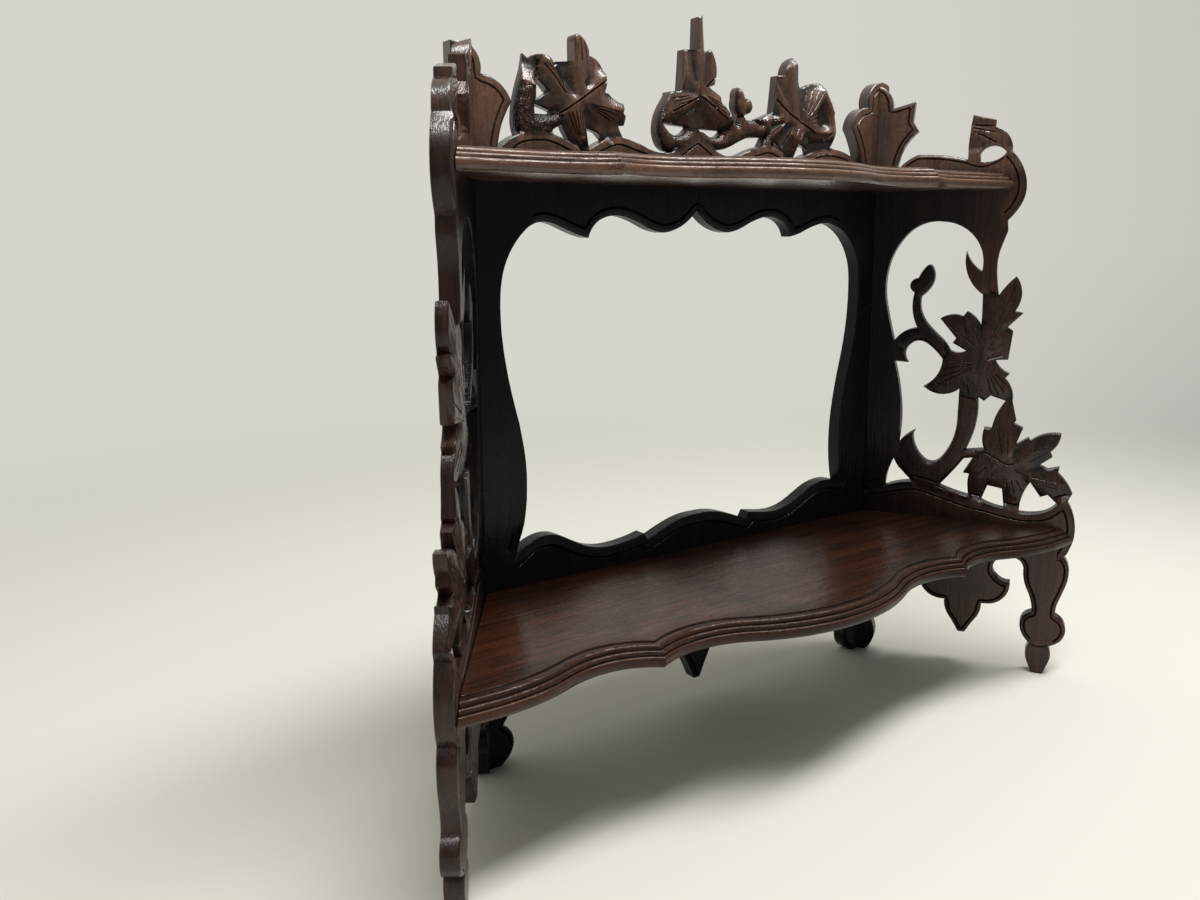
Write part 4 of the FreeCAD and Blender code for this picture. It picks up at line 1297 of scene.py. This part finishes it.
def front_line(across, swell, end):
    """How far the front lies back from its foremost line, at distances from the middle."""
    def turning(top, low):
        return tuple(start + TURN * (stop - start) for start, stop in zip(top, low))

    arcs = [(MIDDLE_SWELL, turning(MIDDLE_SWELL, TROUGH)), (TROUGH, turning(MIDDLE_SWELL, TROUGH)),
            (TROUGH, TIP), (OUTER_TROUGH, TIP)]
    last = OUTER_TROUGH
    if swell:
        arcs += [(OUTER_TROUGH, turning(swell, OUTER_TROUGH)), (swell, turning(swell, OUTER_TROUGH))]
        last = swell
    arcs.append((last, end))
    across = np.minimum(np.abs(across), end[0])
    back = np.full(across.shape, float(end[1]))
    for flat, stop in arcs:
        wide, deep = stop[0] - flat[0], stop[1] - flat[1]
        radius = (wide ** 2 + deep ** 2) / (2 * deep)
        here = (across >= min(flat[0], stop[0]) - 1e-6) & (across <= max(flat[0], stop[0]) + 1e-6)
        root = np.sqrt(radius ** 2 - (across[here] - flat[0]) ** 2)
        back[here] = flat[1] + radius - math.copysign(1, radius) * root
    return back


print("the front lies back at the troughs by", front_line(np.array((97.0, 157.0)), LOWER_SWELL, LOWER_END))

# %% [markdown]
# Such a moulding is cut with a small plane or a scratch stock, one profile along the whole front. Its points
# are given in the order in which the front row is extruded, with the wear and the dirt of each.

# %% Moulding of the shelves
# From the field down to the underside: back from the front line, and down from the top.
FIELD_EDGE = ((10.9, 0), (10.4, 0.05), (10.1, 0.2), (10.0, 0.55))
UPPER_BEAD = ((9.9, 0.9), (9.5, 1.0), (7.8, 0.92), (6.9, 0.95), (6.2, 1.15), (5.6, 1.6), (5.2, 2.2),
              (5.03, 2.8), (5.0, 3.3))
LOWER_BEAD = ((4.9, 3.72), (4.6, 3.66), (4.1, 3.52), (3.6, 3.5), (3.1, 3.68), (2.7, 4.1), (2.48, 4.7),
              (2.4, 5.3), (2.4, 5.8))
FASCIA = ((2.3, 6.24), (2.0, 6.16), (1.6, 6.02), (1.2, 6.02), (0.7, 6.25), (0.3, 6.7), (0.07, 7.3), (0, 8.0),
          (0, 9.2), (0.2, 10.1), (0.7, 11.1), (1.4, 11.9), (2.1, 12.35), (2.8, 12.5))
MOULDING = np.array(FIELD_EDGE + UPPER_BEAD + LOWER_BEAD + FASCIA)
# How worn each of these points is, and how much dirt lies there.
MOULDING_WEAR = np.array((0.2, 0.6, 0.8, 0.2) + (0, 0.1, 0.25, 0.45, 0.7, 0.9, 0.6, 0.2, 0)
                         + (0, 0.2, 0.6, 0.8, 1, 0.9, 0.5, 0.15, 0)
                         + (0, 0.2, 0.6, 0.8, 1, 0.9, 0.6, 0.3, 0.15, 0.2, 0.35, 0.3, 0.15, 0))
MOULDING_DIRT = np.array((0, 0, 0, 0.6) + (1, 0.4, 0.05, 0, 0, 0, 0, 0, 0.4)
                         + (1, 0.5, 0.1, 0, 0, 0, 0, 0, 0.4) + (1, 0.5, 0.1) + (0,) * 11)
print("moulding points:", len(MOULDING))

# %% [markdown]
# The operators do the rest: the grid is the top of the board, each extrusion is one small step of the
# moulding, and two cuts with bisect fit the ends between the splayed sides and close them.

# %% Make the board of a shelf
COLUMN = 1.5
ROWS = 10
# The grid goes on past the end of the front by this much, and bisect trims it.
OVERHANG = 9
# The old boards have shrunk and leave a narrow gap at the ends of the shelves, in metres.
END_GAP = 0.0006


def shelf_board(node, name, swell, end):
    """A board with a moulded front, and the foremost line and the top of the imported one."""
    low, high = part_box(node)
    foremost = BACK_FACE / MM - (BACK_FACE - low.y) / MM
    columns = int(math.ceil((end[0] + OVERHANG) / COLUMN))
    bpy.ops.object.select_all(action="DESELECT")
    bpy.ops.mesh.primitive_grid_add(x_subdivisions=2 * columns, y_subdivisions=ROWS, size=2)
    piece = bpy.context.object
    piece.name = name
    mesh = piece.data
    mesh.name = name
    across = np.array([vertex.co.x for vertex in mesh.vertices]) * columns * COLUMN
    share = (np.array([vertex.co.y for vertex in mesh.vertices]) + 1) / 2
    front = foremost + front_line(across, swell, end) + MOULDING[0, 0]
    deep = front + share * (BACK_FACE / MM - front)
    for vertex, x, y in zip(mesh.vertices, across, deep):
        vertex.co = (x * MM, y * MM, high.z)
    select_only(mesh, "EDGE", lambda edge: all(share[index] < 1e-4 for index in edge.vertices))
    for start, stop in zip(MOULDING, MOULDING[1:]):
        step = (0, (stop[0] - start[0]) * MM, (start[1] - stop[1]) * MM)
        bpy.ops.mesh.extrude_edges_move(TRANSFORM_OT_translate={"value": step})
    bpy.ops.mesh.extrude_edges_move(TRANSFORM_OT_translate={"value": (0, 0.01, 0)})
    bpy.ops.object.mode_set(mode="OBJECT")
    for vertex in mesh.vertices:
        if vertex.select:
            vertex.co.y = BACK_FACE
    select_only(mesh, "EDGE", lambda edge: all(abs(mesh.vertices[index].co.y - BACK_FACE) < 1e-6
                                               for index in edge.vertices))
    bpy.ops.mesh.bridge_edge_loops()
    for hand in (1, -1):
        outward = (hand * COS, SIN, 0)
        edge_place = Vector((hand * HALF_BACK * MM, BACK_FACE, 0)) - END_GAP * Vector(outward)
        bpy.ops.mesh.select_all(action="SELECT")
        bpy.ops.mesh.bisect(plane_co=edge_place, plane_no=outward, use_fill=True, clear_outer=True)
    bpy.ops.mesh.select_all(action="SELECT")
    bpy.ops.mesh.normals_make_consistent(inside=False)
    bpy.ops.object.mode_set(mode="OBJECT")
    return piece, foremost, high.z / MM


print("columns", COLUMN, "mm wide, gap at the ends", END_GAP, "m")

# %% [markdown]
# Wear and dirt follow the moulding, and its beads are a little uneven, as if cut by hand. The upper shelf is
# more worn than the lower one and has more light painted on it. On both, shade is painted towards the rear
# and the right, and the lower shelf's moulding is painted darker.

# %% Make and finish the shelves
# How worn each shelf is, and how much light is painted on it.
LOWER_WEAR_AND_PAINTED_LIGHT = 0.15
UPPER_WEAR_AND_PAINTED_LIGHT = 1.0
# How uneven the moulding is, in metres.
MOULDING_WAVE = 0.0002


def make_shelf(node, name, swell, end, wear_and_painted_light, material):
    piece, foremost, top = shelf_board(node, name, swell, end)
    mesh = piece.data
    spots = np.array([vertex.co for vertex in mesh.vertices]) / MM
    setback = spots[:, 1] - (foremost + front_line(spots[:, 0], swell, end))
    below = top - spots[:, 2]
    gaps = np.hypot(setback[:, None] - MOULDING[None, :, 0], below[:, None] - MOULDING[None, :, 1])
    nearest = np.argmin(gaps, axis=1)
    moulded = np.min(gaps, axis=1) < 0.3
    for vertex, here, rise in zip(mesh.vertices, moulded, unevenness(spots[:, (0, 2)], 0.045, 0.4, 5.0)):
        if here:
            vertex.co.y += MOULDING_WAVE * rise
    # Painted light: less towards the rear and the right, where shade falls, and less on the lower shelf's
    # moulding.
    faded = (0.2 + 0.8 * wear_and_painted_light) * (1.1 - setback / 190) * np.where(moulded, 0.5 + 0.5 * wear_and_painted_light, 1)
    faded *= 1 - 0.4 * spots[:, 0] / HALF_BACK
    leave_mark(mesh, "wear", np.where(moulded, wear_and_painted_light * MOULDING_WEAR[nearest], 0), "POINT")
    leave_mark(mesh, "dirt", np.where(moulded, MOULDING_DIRT[nearest], 0), "POINT")
    leave_mark(mesh, "faded", np.clip(faded, 0.12, 1), "POINT")
    bpy.ops.object.shade_smooth_by_angle(angle=math.radians(38))
    dress(piece, node, material)


make_shelf("lower_shelf", "moulded_lower_shelf", LOWER_SWELL, LOWER_END, LOWER_WEAR_AND_PAINTED_LIGHT, SHELF_WALNUT)
make_shelf("upper_shelf", "moulded_upper_shelf", None, UPPER_END, UPPER_WEAR_AND_PAINTED_LIGHT, WORN_WALNUT)
